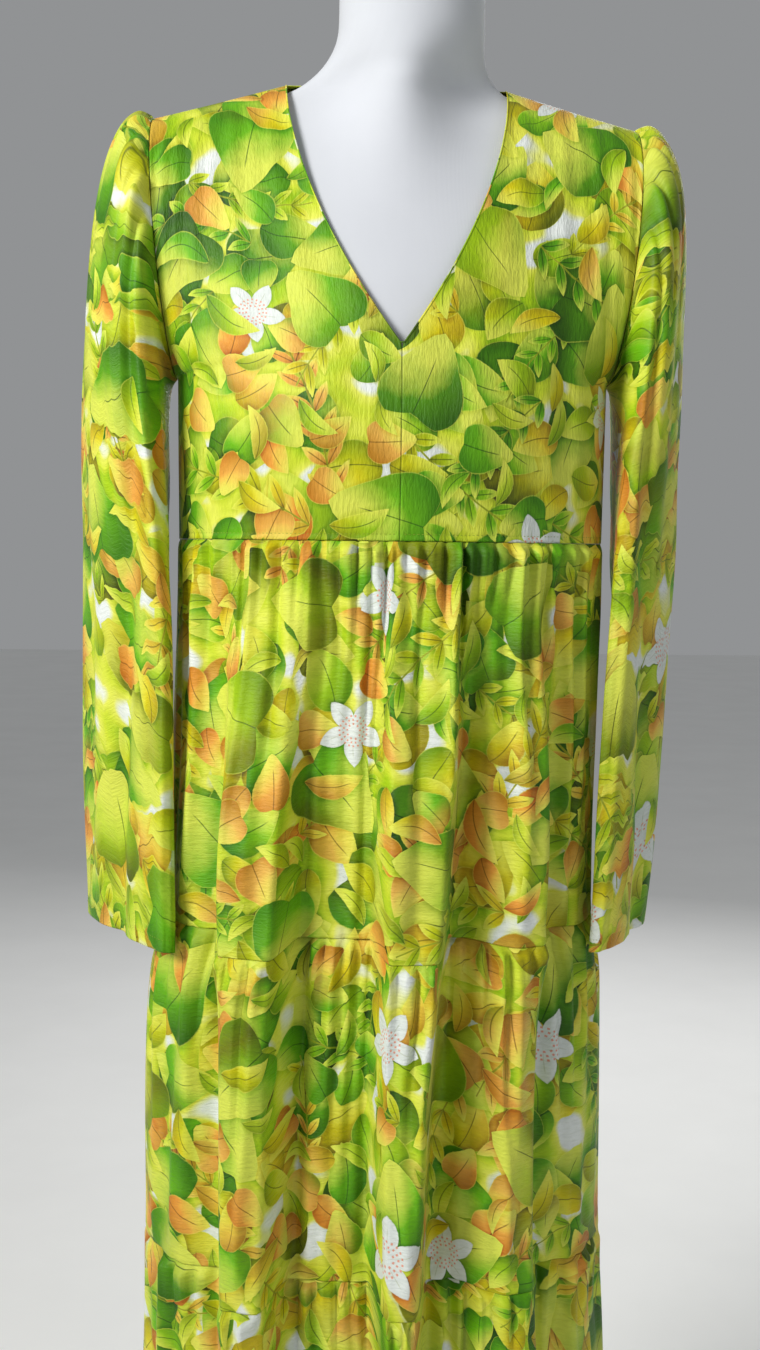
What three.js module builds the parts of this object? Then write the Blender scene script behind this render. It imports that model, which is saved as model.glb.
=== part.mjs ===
// Tiered silk dress with a V-neck and bell sleeves, worn by a limbless dress form on a stand.
// Millimetres, +Z up, front towards -Y, +X to the right of someone facing the dress.
// The origin is at the centre of the round base, on the floor.
import * as THREE from 'three';

// Driving sizes of the dress
const WALL = 1.6;
const SEAM_GAP = 0.3;
const TIER_GAP_HALF = 0.25;
const NECK_POINT_Z = 1482;
const NECK_HALF = 91;
const V_POINT_Z = 1258;
const V_DEPTH = 117;
const SHOULDER_TIP_Z = 1451;
const UNDERARM_Z = 1240;
const UNDERARM_HALF = 180;
const SHOULDER_HALF = 199;
const ARMHOLE_DEPTH = 48;
const ARMHOLE_BOW = 6;
const EMPIRE_Z = 1107;
const EMPIRE_HALF = 179;
const EMPIRE_FRONT = 116;
const EMPIRE_BACK = 94;
const BACK_NECK_Z = 1462;
const BACK_NECK_DEPTH = 62;
const SHOULDER_Y = 2;
const TIER_SEAMS_Z = [EMPIRE_Z, 790, 508];
const HEM_Z = 185;

// Gathers and mesh columns: two columns make one gather
const TIER_GATHERS = 24;
const TIER_COLUMNS = TIER_GATHERS * 2;
const TIER_ROWS = [0, 0.045, 0.2, 0.55, 1];
const SLEEVE_COLUMNS = 32;
const BODICE_COLUMNS = 9;
const BODICE_BACK_COLUMNS = 8;

// Driving sizes of the dress form and its stand
const NECK_TOP_Z = 1588;
const TORSO_BOTTOM_Z = 862;
const NECK_SHIFT = 12;
const POLE_RADIUS = 12.5;
const BASE_RADIUS = 170;
const BASE_THICKNESS = 6;

// Skirt sections by height: half width, reach to the front and back, sideways sway
const SKIRT_SECTIONS = [
  { z: 1107, half: EMPIRE_HALF, front: EMPIRE_FRONT, back: EMPIRE_BACK, sway: 0 },
  { z: 1040, half: 180, front: 113, back: 98, sway: -1 },
  { z: 950, half: 181, front: 109, back: 103, sway: -3 },
  { z: 860, half: 182, front: 107, back: 107, sway: -5 },
  { z: 790, half: 185, front: 106, back: 110, sway: -6 },
  { z: 740, half: 195, front: 107, back: 113, sway: -8 },
  { z: 650, half: 199, front: 109, back: 117, sway: -9 },
  { z: 508, half: 200, front: 112, back: 121, sway: -8 },
  { z: 391, half: 204, front: 114, back: 125, sway: -6 },
  { z: 185, half: 212, front: 117, back: 130, sway: -4 },
];

// Large folds of the skirt: where each raised stretch starts and ends across the width, at the
// empire seam and at the hem, how far it stands out at mid length and at the hem, and how wide
// its left and right flanks are
const FRONT_FOLDS = [
  { fromTop: -168, fromHem: -182, toTop: -142, toHem: -146, rise: 4, riseHem: 9, flankFrom: 20, flankTo: 18 },
  { fromTop: -127, fromHem: -116, toTop: -70, toHem: -87, rise: 40, riseHem: 50, flankFrom: 17, flankTo: 15 },
  { fromTop: -10, fromHem: 1, toTop: 56, toHem: 16, rise: 40, riseHem: 52, flankFrom: 16, flankTo: 18 },
  { fromTop: 84, fromHem: 74, toTop: 128, toHem: 118, rise: 24, riseHem: 34, flankFrom: 44, flankTo: 16 },
  { fromTop: 148, fromHem: 154, toTop: 168, toHem: 182, rise: 4, riseHem: 9, flankFrom: 16, flankTo: 20 },
];
const BACK_FOLDS = [
  { fromTop: -166, fromHem: -180, toTop: -142, toHem: -150, rise: 4, riseHem: 8, flankFrom: 20, flankTo: 18 },
  { fromTop: -112, fromHem: -124, toTop: -66, toHem: -82, rise: 26, riseHem: 38, flankFrom: 24, flankTo: 16 },
  { fromTop: -32, fromHem: -26, toTop: 14, toHem: 8, rise: 32, riseHem: 44, flankFrom: 17, flankTo: 22 },
  { fromTop: 62, fromHem: 70, toTop: 118, toHem: 112, rise: 28, riseHem: 40, flankFrom: 18, flankTo: 26 },
  { fromTop: 146, fromHem: 154, toTop: 166, toHem: 180, rise: 4, riseHem: 8, flankFrom: 18, flankTo: 20 },
];

// How far a raised fold hangs below the rest, as a share of its height
const FOLD_SAG = 0.26;

// Gather depth down a tier: a small ripple in the seam, fullest just below it, then fading
const GATHER_DEPTHS = [
  { down: 0, depth: 0.9 },
  { down: 0.045, depth: 3.0 },
  { down: 0.2, depth: 2.3 },
  { down: 0.55, depth: 1.3 },
  { down: 1, depth: 0.9 },
];

// Front and back reach of the bodice along its centre line
const BODICE_CENTRE = [
  { z: 1107, front: EMPIRE_FRONT, back: EMPIRE_BACK },
  { z: 1160, front: 121, back: 96 },
  { z: 1205, front: 123, back: 97 },
  { z: 1258, front: V_DEPTH, back: 99 },
  { z: 1330, front: 100, back: 97 },
  { z: 1400, front: 75, back: 86 },
  { z: 1462, front: 40, back: BACK_NECK_DEPTH },
];

// Sleeve rings: outermost and innermost point (x, z), depth to the front and back, how far the
// front edge leans in, how far the dress presses in its inner side, gather depth, depth and place
// (degrees) of the long crease, and how far each sleeve's outer side hangs away from the mean
const SLEEVE_RINGS = [
  ringOf({ outX: 199.4, outZ: 1451, inX: 180.4, inZ: 1240, deep: 48 }, { gather: 0.7 }, { left: 0, right: 0 }),
  ringOf({ outX: 213, outZ: 1452, inX: 184.5, inZ: 1234, deep: 54 }, { lean: 1, gather: 2.6 }, { left: 0, right: 0 }),
  ringOf({ outX: 228, outZ: 1438, inX: 186.5, inZ: 1223, deep: 59 }, { lean: 3, gather: 2.6 }, { left: 0, right: 0 }),
  ringOf({ outX: 241, outZ: 1406, inX: 187, inZ: 1207, deep: 63 },
    { lean: 6, press: 1, gather: 1.8, crease: 2 }, { left: 0, right: 0 }),
  ringOf({ outX: 248, outZ: 1352, inX: 187, inZ: 1184, deep: 66 },
    { lean: 9, press: 2, gather: 0.8, crease: 6 }, { left: 3, right: -2 }),
  ringOf({ outX: 252, outZ: 1270, inX: 187, inZ: 1150, deep: 67 },
    { lean: 13, press: 3, crease: 9, creaseAt: 79 }, { left: 6, right: -6 }),
  ringOf({ outX: 251, outZ: 1170, inX: 188, inZ: 1098, deep: 66 },
    { lean: 20, press: 5, crease: 10, creaseAt: 68 }, { left: 7, right: -6 }),
  ringOf({ outX: 248, outZ: 1050, inX: 192, inZ: 1018, deep: 65 },
    { lean: 28, press: 8, crease: 11, creaseAt: 42 }, { left: 2, right: -5 }),
  ringOf({ outX: 245, outZ: 930, inX: 193, inZ: 924, deep: 66 },
    { lean: 31, press: 10, crease: 11, creaseAt: 28 }, { left: 0, right: -5 }),
  ringOf({ outX: 243, outZ: 848, inX: 193, inZ: 842, deep: 69 },
    { lean: 32, press: 11, crease: 11, creaseAt: 16 }, { left: -3, right: -5 }),
  ringOf({ outX: 241, outZ: 773, inX: 193, inZ: 767, deep: 74 },
    { lean: 33, press: 12, crease: 10, creaseAt: 8 }, { left: -6, right: -7 }),
];
const SLEEVE_HANG = {
  left: { sideways: -1, leanFront: 1.22, leanBack: 1.22 },
  right: { sideways: 1, leanFront: 1.15, leanBack: 0.65 },
};

const PRESS_AT = 155;
const PRESS_SPREAD = 28;
const CREASE_SPREAD = 14;

// Dress form sections: half width, reach of the body to front and back, and how much further the
// neck stands out at the middle
const FORM_SECTIONS = [
  { z: TORSO_BOTTOM_Z, half: 150, front: 88, back: 96, neckFront: 0, neckBack: 0 },
  { z: 920, half: 156, front: 92, back: 96, neckFront: 0, neckBack: 0 },
  { z: 985, half: 142, front: 88, back: 90, neckFront: 0, neckBack: 0 },
  { z: 1050, half: 124, front: 84, back: 82, neckFront: 0, neckBack: 0 },
  { z: 1107, half: 131, front: 92, back: 82, neckFront: 0, neckBack: 0 },
  { z: 1160, half: 142, front: 106, back: 86, neckFront: 0, neckBack: 0 },
  { z: 1215, half: 151, front: 112, back: 89, neckFront: 0, neckBack: 0 },
  { z: 1260, half: 157, front: 106, back: 90, neckFront: 0, neckBack: 0 },
  { z: 1310, half: 166, front: 94, back: 88, neckFront: 0, neckBack: 0 },
  { z: 1360, half: 177, front: 77, back: 80, neckFront: 1, neckBack: 2 },
  { z: 1400, half: 184, front: 56, back: 66, neckFront: 10, neckBack: 8 },
  { z: 1425, half: 186, front: 40, back: 50, neckFront: 21, neckBack: 15 },
  { z: 1441, half: 180, front: 30, back: 38, neckFront: 29, neckBack: 23 },
  { z: 1455, half: 158, front: 21, back: 26, neckFront: 37, neckBack: 32 },
  { z: 1466, half: 121, front: 15, back: 18, neckFront: 42, neckBack: 40 },
  { z: 1475, half: 92, front: 14, back: 16, neckFront: 43, neckBack: 42 },
  { z: 1486, half: 76, front: 24, back: 26, neckFront: 32, neckBack: 32 },
  { z: 1500, half: 66, front: 42, back: 44, neckFront: 16, neckBack: 16 },
  { z: 1520, half: 61, front: 56, back: 58, neckFront: 3, neckBack: 3 },
  { z: 1575, half: 60, front: 58, back: 60, neckFront: 1, neckBack: 1 },
  { z: NECK_TOP_Z - 3, half: 59, front: 57, back: 59, neckFront: 1, neckBack: 1 },
  { z: NECK_TOP_Z, half: 55, front: 53, back: 55, neckFront: 1, neckBack: 1 },
];
const FORM_COLUMNS = 32;
const NECK_HUMP_WIDTH = 46;

const CLOTH = {
  front: { color: 0x9fb628, roughness: 0.62, metalness: 0 },
  back: { color: 0x94ad26, roughness: 0.62, metalness: 0 },
  sleeve: { color: 0xa9bb33, roughness: 0.62, metalness: 0 },
};
const JERSEY = { color: 0xdfe2e4, roughness: 0.85, metalness: 0 };
const STEEL = { color: 0x8d9093, roughness: 0.35, metalness: 0.9 };
const ENAMEL = { color: 0xe8e8e6, roughness: 0.45, metalness: 0.1 };

const smooth = (t) => THREE.MathUtils.smoothstep(t, 0, 1);
const lerp = THREE.MathUtils.lerp;

// Value of one column of a table at a place along another column, on a smooth curve through its rows
function tableAt(table, key, column, place) {
  const rising = table[table.length - 1][key] > table[0][key];
  const past = (row) => (rising ? row[key] >= place : row[key] <= place);
  const found = table.findIndex(past);
  const high = THREE.MathUtils.clamp(found < 0 ? table.length - 1 : found, 1, table.length - 1);
  const low = high - 1;
  const slope = (i) => {
    const before = table[Math.max(i - 1, 0)];
    const after = table[Math.min(i + 1, table.length - 1)];
    return (after[column] - before[column]) / (after[key] - before[key]);
  };
  const span = table[high][key] - table[low][key];
  const t = (place - table[low][key]) / span;
  if (t < 0 || t > 1) {
    const edge = t < 0 ? low : high;
    return table[edge][column] + slope(edge) * (place - table[edge][key]);
  }
  const t2 = t * t;
  const t3 = t2 * t;
  return (2 * t3 - 3 * t2 + 1) * table[low][column] + (t3 - 2 * t2 + t) * span * slope(low)
    + (3 * t2 - 2 * t3) * table[high][column] + (t3 - t2) * span * slope(high);
}

// Outward normal of a surface, from small steps along both of its directions
function surfaceNormal(surface, u, v) {
  const step = 1e-3;
  const along = surface(u + step, v).sub(surface(u - step, v));
  const down = surface(u, v + step).sub(surface(u, v - step));
  return along.cross(down).normalize();
}

// A sheet is a list of points with their outward normals and the quads between them
function gridSheet(surface, us, vs, { closed = false, facing = 1, square = (normal) => normal } = {}) {
  const points = [];
  const normals = [];
  for (const v of vs) {
    for (const u of us) {
      points.push(surface(u, v));
      normals.push(square(surfaceNormal(surface, u, v), u, v).normalize().multiplyScalar(facing));
    }
  }
  const quads = [];
  const columns = us.length;
  const spans = closed ? columns : columns - 1;
  for (let row = 0; row < vs.length - 1; row += 1) {
    for (let column = 0; column < spans; column += 1) {
      const next = (column + 1) % columns;
      const a = row * columns + column;
      const b = row * columns + next;
      const c = (row + 1) * columns + next;
      const d = (row + 1) * columns + column;
      quads.push(facing > 0 ? [a, b, c, d] : [d, c, b, a]);
    }
  }
  return { points, normals, quads };
}

// Two sheets become one where their points fall together
function joinSheets(first, second) {
  const points = [...first.points];
  const normals = [...first.normals];
  const places = new Map();
  const name = (p) => p.toArray().map((value) => value.toFixed(3)).join(' ');
  first.points.forEach((p, i) => places.set(name(p), i));
  const moved = second.points.map((p, i) => {
    const found = places.get(name(p));
    if (found !== undefined) {
      return found;
    }
    points.push(p);
    normals.push(second.normals[i]);
    return points.length - 1;
  });
  const quads = [...first.quads, ...second.quads.map((quad) => quad.map((i) => moved[i]))];
  return { points, normals, quads };
}

// Closed wall of cloth: the sheet outside, its offset copy inside, and a rim along every free edge
function wallGeometry({ points, normals, quads }) {
  const count = points.length;
  const inner = points.map((p, i) => p.clone().addScaledVector(normals[i], -WALL));
  const positions = [...points, ...inner].flatMap((p) => p.toArray());
  const triangles = [];
  const addQuad = (a, b, c, d) => triangles.push(a, b, c, a, c, d);
  const used = new Set();
  for (const quad of quads) {
    quad.forEach((from, i) => used.add(`${from} ${quad[(i + 1) % 4]}`));
  }
  for (const quad of quads) {
    const [a, b, c, d] = quad;
    addQuad(a, b, c, d);
    addQuad(d + count, c + count, b + count, a + count);
    quad.forEach((from, i) => {
      const to = quad[(i + 1) % 4];
      if (!used.has(`${to} ${from}`)) {
        addQuad(to, from, from + count, to + count);
      }
    });
  }
  return closedGeometry(positions, triangles);
}

// Geometry from points and triangles, turned so that its faces point out
function closedGeometry(positions, triangles) {
  let volume = 0;
  const corner = (i) => new THREE.Vector3().fromArray(positions, i * 3);
  for (let i = 0; i < triangles.length; i += 3) {
    const [a, b, c] = [corner(triangles[i]), corner(triangles[i + 1]), corner(triangles[i + 2])];
    volume += a.dot(b.cross(c)) / 6;
  }
  const facing = volume > 0 ? triangles : [...triangles].reverse();
  const geometry = new THREE.BufferGeometry();
  geometry.setAttribute('position', new THREE.Float32BufferAttribute(positions, 3));
  geometry.setIndex(facing);
  geometry.computeVertexNormals();
  return geometry;
}

function steps(count) {
  return Array.from({ length: count + 1 }, (_, i) => i / count);
}

function named(name, geometry, finish) {
  const mesh = new THREE.Mesh(geometry, new THREE.MeshStandardMaterial(finish));
  mesh.name = name;
  return mesh;
}

// One raised stretch of cloth between two soft flanks
function foldRise(fold, x, z) {
  const fall = (EMPIRE_Z - z) / (EMPIRE_Z - HEM_Z);
  const from = lerp(fold.fromTop, fold.fromHem, fall);
  const to = lerp(fold.toTop, fold.toHem, fall);
  const opening = smooth(fall / 0.3);
  const rise = fall < 0.5 ? fold.rise * opening : lerp(fold.rise, fold.riseHem, (fall - 0.5) * 2);
  const left = smooth((x - from + fold.flankFrom / 2) / fold.flankFrom);
  const right = smooth((to - x + fold.flankTo / 2) / fold.flankTo);
  return rise * left * right;
}

// Evenly stepped angles along a quarter ellipse pair, so that gathers keep one pitch round it
function evenAngles(half, reach) {
  const count = 90;
  const angles = steps(count).map((t) => (t - 0.5) * Math.PI);
  const lengths = [0];
  for (let i = 1; i <= count; i += 1) {
    const dx = half * (Math.sin(angles[i]) - Math.sin(angles[i - 1]));
    const dy = reach * (Math.cos(angles[i]) - Math.cos(angles[i - 1]));
    lengths.push(lengths[i - 1] + Math.hypot(dx, dy));
  }
  const whole = lengths[count];
  return (share) => {
    const target = THREE.MathUtils.clamp(share, 0, 1) * whole;
    const high = Math.max(1, lengths.findIndex((length) => length >= target));
    const t = (target - lengths[high - 1]) / (lengths[high] - lengths[high - 1]);
    return lerp(angles[high - 1], angles[high], t);
  };
}

// Uneven spacing of the gathers along a seam, the same above and below it
function unevenShare(share) {
  const wobble = 0.005 * Math.sin(share * Math.PI * 10 + 1.7) + 0.003 * Math.sin(share * Math.PI * 26 + 3.4);
  return share + wobble * Math.sin(share * Math.PI);
}

// One gathered tier panel, front or back, from its top seam to its lower edge
function tierSurface(topZ, lowZ, isFront, seed) {
  const folds = isFront ? FRONT_FOLDS : BACK_FOLDS;
  const reachName = isFront ? 'front' : 'back';
  const side = isFront ? -1 : 1;
  const spacing = evenAngles(EMPIRE_HALF, isFront ? EMPIRE_FRONT : EMPIRE_BACK);
  return (share, down) => {
    const z = lerp(topZ, lowZ, down);
    const half = tableAt(SKIRT_SECTIONS, 'z', 'half', z);
    const reach = tableAt(SKIRT_SECTIONS, 'z', reachName, z);
    const sway = tableAt(SKIRT_SECTIONS, 'z', 'sway', z);
    const even = unevenShare(share);
    const angle = even < 0 || even > 1 ? (even - 0.5) * Math.PI : spacing(even);
    const x = half * Math.sin(angle);
    const y = side * reach * Math.cos(angle);
    const outward = new THREE.Vector2(x / (half * half), y / (reach * reach)).normalize();
    const swell = 0.72 + 0.28 * Math.sin(share * Math.PI * 7 + seed * Math.sin(down * Math.PI));
    const atSides = 0.45 + 0.55 * smooth(Math.cos(angle) * 2);
    const gather = tableAt(GATHER_DEPTHS, 'down', 'depth', down) * swell * atSides;
    const wave = gather * Math.cos(share * TIER_GATHERS * 2 * Math.PI);
    const raised = folds.reduce((sum, fold) => sum + foldRise(fold, x, z), 0);
    const out = wave + raised;
    const sagged = z - FOLD_SAG * raised;
    return new THREE.Vector3(x + sway + outward.x * out, y + outward.y * out, sagged);
  };
}

// Share of a tier panel's width that stays free beside each side seam
const SIDE_SEAM_SHARE = 0.00045;

function tierPanel(name, tier, isFront) {
  const topZ = TIER_SEAMS_Z[tier - 1] - TIER_GAP_HALF;
  const lowZ = tier < TIER_SEAMS_Z.length ? TIER_SEAMS_Z[tier] + TIER_GAP_HALF : HEM_Z;
  const surface = tierSurface(topZ, lowZ, isFront, tier * 1.7 + (isFront ? 0 : 0.9));
  const margin = SIDE_SEAM_SHARE;
  const shares = steps(TIER_COLUMNS).map((share) => lerp(margin, 1 - margin, share));
  const square = (normal, share, down) => {
    if (down > 0 && down < 1) {
      return normal.setZ(0);
    }
    const along = surface(share + margin, down).sub(surface(share - margin, down));
    return normal.set(-along.y, along.x, 0);
  };
  const sheet = gridSheet(surface, shares, TIER_ROWS, { facing: isFront ? -1 : 1, square });
  return named(name, wallGeometry(sheet), isFront ? CLOTH.front : CLOTH.back);
}

// Side seam and armhole of the bodice: the lower part goes straight up, the upper part goes
// round the armhole from the underarm to the shoulder tip
function bodiceOuter(low, up, side) {
  if (up <= 0) {
    return new THREE.Vector3(lerp(EMPIRE_HALF, UNDERARM_HALF, low), 0, lerp(EMPIRE_Z, UNDERARM_Z, low));
  }
  const angle = up * Math.PI;
  const climb = (1 - Math.cos(angle)) / 2;
  return new THREE.Vector3(
    lerp(UNDERARM_HALF, SHOULDER_HALF, climb) + ARMHOLE_BOW * Math.sin(angle),
    side * ARMHOLE_DEPTH * Math.sin(angle),
    lerp(UNDERARM_Z, SHOULDER_TIP_Z, climb),
  );
}

// Centre front seam up to the V point, then the neckline up to the shoulder
function frontInner(low, up) {
  if (up <= 0) {
    const z = lerp(EMPIRE_Z, V_POINT_Z, low);
    return new THREE.Vector3(0, -tableAt(BODICE_CENTRE, 'z', 'front', z), z);
  }
  const left = 1 - up;
  const drop = (NECK_POINT_Z - V_POINT_Z) * Math.abs(left) ** 1.5;
  return new THREE.Vector3(
    NECK_HALF * (1 - Math.abs(left) ** 2.6),
    SHOULDER_Y - (V_DEPTH + SHOULDER_Y) * left,
    NECK_POINT_Z - drop,
  );
}

// Centre back up to the back neck, then the back neckline out to the shoulder
function backInner(climb) {
  const neckShare = 0.8;
  if (climb <= neckShare) {
    const z = lerp(EMPIRE_Z, BACK_NECK_Z, climb / neckShare);
    return new THREE.Vector3(0, tableAt(BODICE_CENTRE, 'z', 'back', z), z);
  }
  const angle = ((climb - neckShare) / (1 - neckShare)) * Math.PI / 2;
  return new THREE.Vector3(
    NECK_HALF * Math.sin(angle),
    lerp(SHOULDER_Y, BACK_NECK_DEPTH, Math.cos(angle)),
    lerp(NECK_POINT_Z, BACK_NECK_Z, Math.cos(angle) ** 2),
  );
}

// Where the rows of the bodice leave the side seam for the armhole
const UNDERARM_SHARE = 0.38;

// Row of the bodice between its inner and outer edge: a quarter turn low down, flatter higher up
function bodiceRow(inner, outer, across, up) {
  const turn = lerp(Math.PI / 2, Math.PI / 4.5, smooth(up));
  const widen = Math.sin(turn * across) / Math.sin(turn);
  const recede = (Math.cos(turn * across) - Math.cos(turn)) / (1 - Math.cos(turn));
  return new THREE.Vector3(
    lerp(inner.x, outer.x, widen),
    lerp(outer.y, inner.y, recede),
    lerp(inner.z, outer.z, widen),
  );
}

// Soft swell of the front over the fullest part, and the long soft fold below the armhole
function frontSwell(p, foldDepth) {
  const bust = 7 * Math.exp(-(((p.x - 80) / 48) ** 2) - ((p.z - 1205) / 48) ** 2);
  const fold = foldDepth * Math.exp(-(((p.x - 150) / 13) ** 2)) * smooth((1330 - p.z) / 120);
  const settle = smooth((p.z - EMPIRE_Z) / 70);
  return (bust + fold) * settle;
}

function frontBodiceSurface(sideways, foldDepth) {
  return (across, climb) => {
    const low = climb / UNDERARM_SHARE;
    const up = (climb - UNDERARM_SHARE) / (1 - UNDERARM_SHARE);
    const p = bodiceRow(frontInner(low, up), bodiceOuter(low, up, -1), across, Math.max(up, 0));
    p.y -= frontSwell(p, foldDepth);
    p.x *= sideways;
    return p;
  };
}

function backBodiceSurface(sideways) {
  return (across, climb) => {
    const low = climb / UNDERARM_SHARE;
    const up = (climb - UNDERARM_SHARE) / (1 - UNDERARM_SHARE);
    const p = bodiceRow(backInner(climb), bodiceOuter(low, up, 1), across, Math.max(up, 0));
    p.x *= sideways;
    return p;
  };
}

const BODICE_ROWS = [0, 0.095, 0.19, 0.285, 0.38, 0.47, 0.56, 0.65, 0.73, 0.8, 0.87, 0.94, 1];

// Shares of a bodice panel that keep its edges half a seam gap inside each seam
const SEAM_SHARE = 0.0009;

function seamedRows() {
  return BODICE_ROWS.map((row) => lerp(SEAM_SHARE / 2, 1 - SEAM_SHARE, row));
}

// Edges of the bodice walls stand square to their seams
function squareToSeams(normal, across, climb) {
  const byWaist = climb < SEAM_SHARE;
  const byShoulder = climb > 1 - SEAM_SHARE * 2;
  const bySide = across > 1 - SEAM_SHARE * 3 && climb < UNDERARM_SHARE;
  const byCentre = across < SEAM_SHARE * 2 && climb < UNDERARM_SHARE;
  if (byWaist) {
    normal.setZ(0);
  }
  if (byShoulder || bySide) {
    normal.setY(0);
  }
  if (byCentre) {
    normal.setX(0);
  }
  return normal;
}

function frontBodice(name, sideways, foldDepth) {
  const across = steps(BODICE_COLUMNS).map((share) => lerp(SEAM_SHARE * 0.6, 1 - SEAM_SHARE * 1.5, share));
  const surface = frontBodiceSurface(sideways, foldDepth);
  const sheet = gridSheet(surface, across, seamedRows(), { facing: sideways, square: squareToSeams });
  return named(name, wallGeometry(sheet), CLOTH.front);
}

function backBodice(name) {
  const across = steps(BODICE_BACK_COLUMNS).map((share) => share * (1 - SEAM_SHARE * 1.5));
  const half = (sideways) => gridSheet(backBodiceSurface(sideways), across, seamedRows(), {
    facing: -sideways,
    square: squareToSeams,
  });
  return named(name, wallGeometry(joinSheets(half(1), half(-1))), CLOTH.back);
}

// Soft bump round a ring, centred on an angle in degrees
function bumpAt(angle, centre, spread) {
  const off = ((THREE.MathUtils.radToDeg(angle) - centre + 540) % 360) - 180;
  return Math.exp(-((off / spread) ** 2));
}

// Ring of a sleeve from its outline, its shape round the ring and how far it hangs out
function ringOf(outline, shape, hang) {
  return { lean: 0, press: 0, gather: 0, crease: 0, creaseAt: 80, ...outline, ...shape, ...hang };
}

// One sleeve: rings from the armhole to the bell hem, gathered over the head, with one long crease
function sleeveSurface(side) {
  const { sideways, leanFront, leanBack } = SLEEVE_HANG[side];
  const last = SLEEVE_RINGS.length - 1;
  const rings = SLEEVE_RINGS.map((ring, i) => ({ ...ring, at: i / last }));
  const value = (column, at) => tableAt(rings, 'at', column, at);
  return (turn, at) => {
    const angle = turn * Math.PI * 2;
    const outer = new THREE.Vector2(value('outX', at) + value(side, at), value('outZ', at));
    const inner = new THREE.Vector2(value('inX', at), value('inZ', at));
    const middle = outer.clone().add(inner).multiplyScalar(0.5);
    const arm = outer.clone().sub(inner).multiplyScalar(0.5);
    const deep = value('deep', at);
    const lean = value('lean', at) * (Math.sin(angle) > 0 ? leanFront : leanBack);
    const bow = ARMHOLE_BOW * Math.max(0, 1 - at * 4) * Math.abs(Math.sin(angle));
    const press = value('press', at) * bumpAt(angle, PRESS_AT, PRESS_SPREAD);
    const p = new THREE.Vector3(
      middle.x + arm.x * Math.cos(angle) - lean * Math.sin(angle) + bow + press,
      -deep * Math.sin(angle),
      middle.y + arm.y * Math.cos(angle),
    );
    const radial = new THREE.Vector3(arm.x * Math.cos(angle), p.y, arm.y * Math.cos(angle)).normalize();
    const onHead = smooth(Math.cos(angle) * 1.6 + 0.5);
    const gather = value('gather', at) * onHead * Math.cos(turn * SLEEVE_COLUMNS * Math.PI);
    const crease = value('crease', at) * bumpAt(angle, value('creaseAt', at), CREASE_SPREAD);
    p.addScaledVector(radial, gather - crease);
    const sway = tableAt(SKIRT_SECTIONS, 'z', 'sway', Math.min(p.z, EMPIRE_Z));
    p.x = p.x * sideways + sway;
    return p;
  };
}

function sleeve(name, side) {
  const turns = Array.from({ length: SLEEVE_COLUMNS }, (_, i) => i / SLEEVE_COLUMNS);
  const rows = steps(SLEEVE_RINGS.length - 1);
  const { sideways } = SLEEVE_HANG[side];
  const sheet = gridSheet(sleeveSurface(side), turns, rows, { closed: true, facing: sideways });
  return named(name, wallGeometry(sheet), CLOTH.sleeve);
}

// Dress form: one solid of revolution-like sections, closed flat at the hips and the neck
function formTorso(name) {
  const rows = FORM_SECTIONS;
  const positions = [];
  for (const row of rows) {
    const shift = NECK_SHIFT * smooth((row.z - 1455) / 75);
    for (let column = 0; column < FORM_COLUMNS; column += 1) {
      const angle = (column / FORM_COLUMNS) * Math.PI * 2;
      const x = row.half * Math.cos(angle);
      const front = Math.sin(angle) < 0;
      const hump = (front ? row.neckFront : row.neckBack) * Math.exp(-((x / NECK_HUMP_WIDTH) ** 2));
      const reach = front ? row.front : row.back;
      const y = reach * Math.sin(angle) + Math.sin(angle) * hump;
      positions.push(x + shift, y, row.z);
    }
  }
  const triangles = [];
  for (let row = 0; row < rows.length - 1; row += 1) {
    for (let column = 0; column < FORM_COLUMNS; column += 1) {
      const next = (column + 1) % FORM_COLUMNS;
      const a = row * FORM_COLUMNS + column;
      const b = row * FORM_COLUMNS + next;
      triangles.push(a, b, b + FORM_COLUMNS, a, b + FORM_COLUMNS, a + FORM_COLUMNS);
    }
  }
  const topStart = (rows.length - 1) * FORM_COLUMNS;
  for (let column = 1; column < FORM_COLUMNS - 1; column += 1) {
    triangles.push(0, column + 1, column);
    triangles.push(topStart, topStart + column, topStart + column + 1);
  }
  return named(name, closedGeometry(positions, triangles), JERSEY);
}

// Upright pole between the base and the hips
function standPole(name) {
  const height = TORSO_BOTTOM_Z - BASE_THICKNESS - SEAM_GAP * 2;
  const geometry = new THREE.CylinderGeometry(POLE_RADIUS, POLE_RADIUS, height, 20);
  const pole = named(name, geometry, STEEL);
  pole.rotation.x = Math.PI / 2;
  pole.position.z = BASE_THICKNESS + SEAM_GAP + height / 2;
  return pole;
}

// Round base with a softened upper edge
function standBase(name) {
  const edge = 2;
  const profile = [
    new THREE.Vector2(0, 0),
    new THREE.Vector2(BASE_RADIUS - 1, 0),
    new THREE.Vector2(BASE_RADIUS, 1),
    new THREE.Vector2(BASE_RADIUS, BASE_THICKNESS - edge),
    new THREE.Vector2(BASE_RADIUS - edge, BASE_THICKNESS),
    new THREE.Vector2(0, BASE_THICKNESS),
  ];
  const base = named(name, new THREE.LatheGeometry(profile, 40), ENAMEL);
  base.rotation.x = Math.PI / 2;
  return base;
}

const dress = new THREE.Group();
dress.add(frontBodice('bodice_front_left', -1, 3));
dress.add(frontBodice('bodice_front_right', 1, 6));
dress.add(backBodice('bodice_back'));
dress.add(sleeve('sleeve_left', 'left'));
dress.add(sleeve('sleeve_right', 'right'));
for (let tier = 1; tier <= TIER_SEAMS_Z.length; tier += 1) {
  dress.add(tierPanel(`tier_${tier}_front`, tier, true));
  dress.add(tierPanel(`tier_${tier}_back`, tier, false));
}

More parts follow.
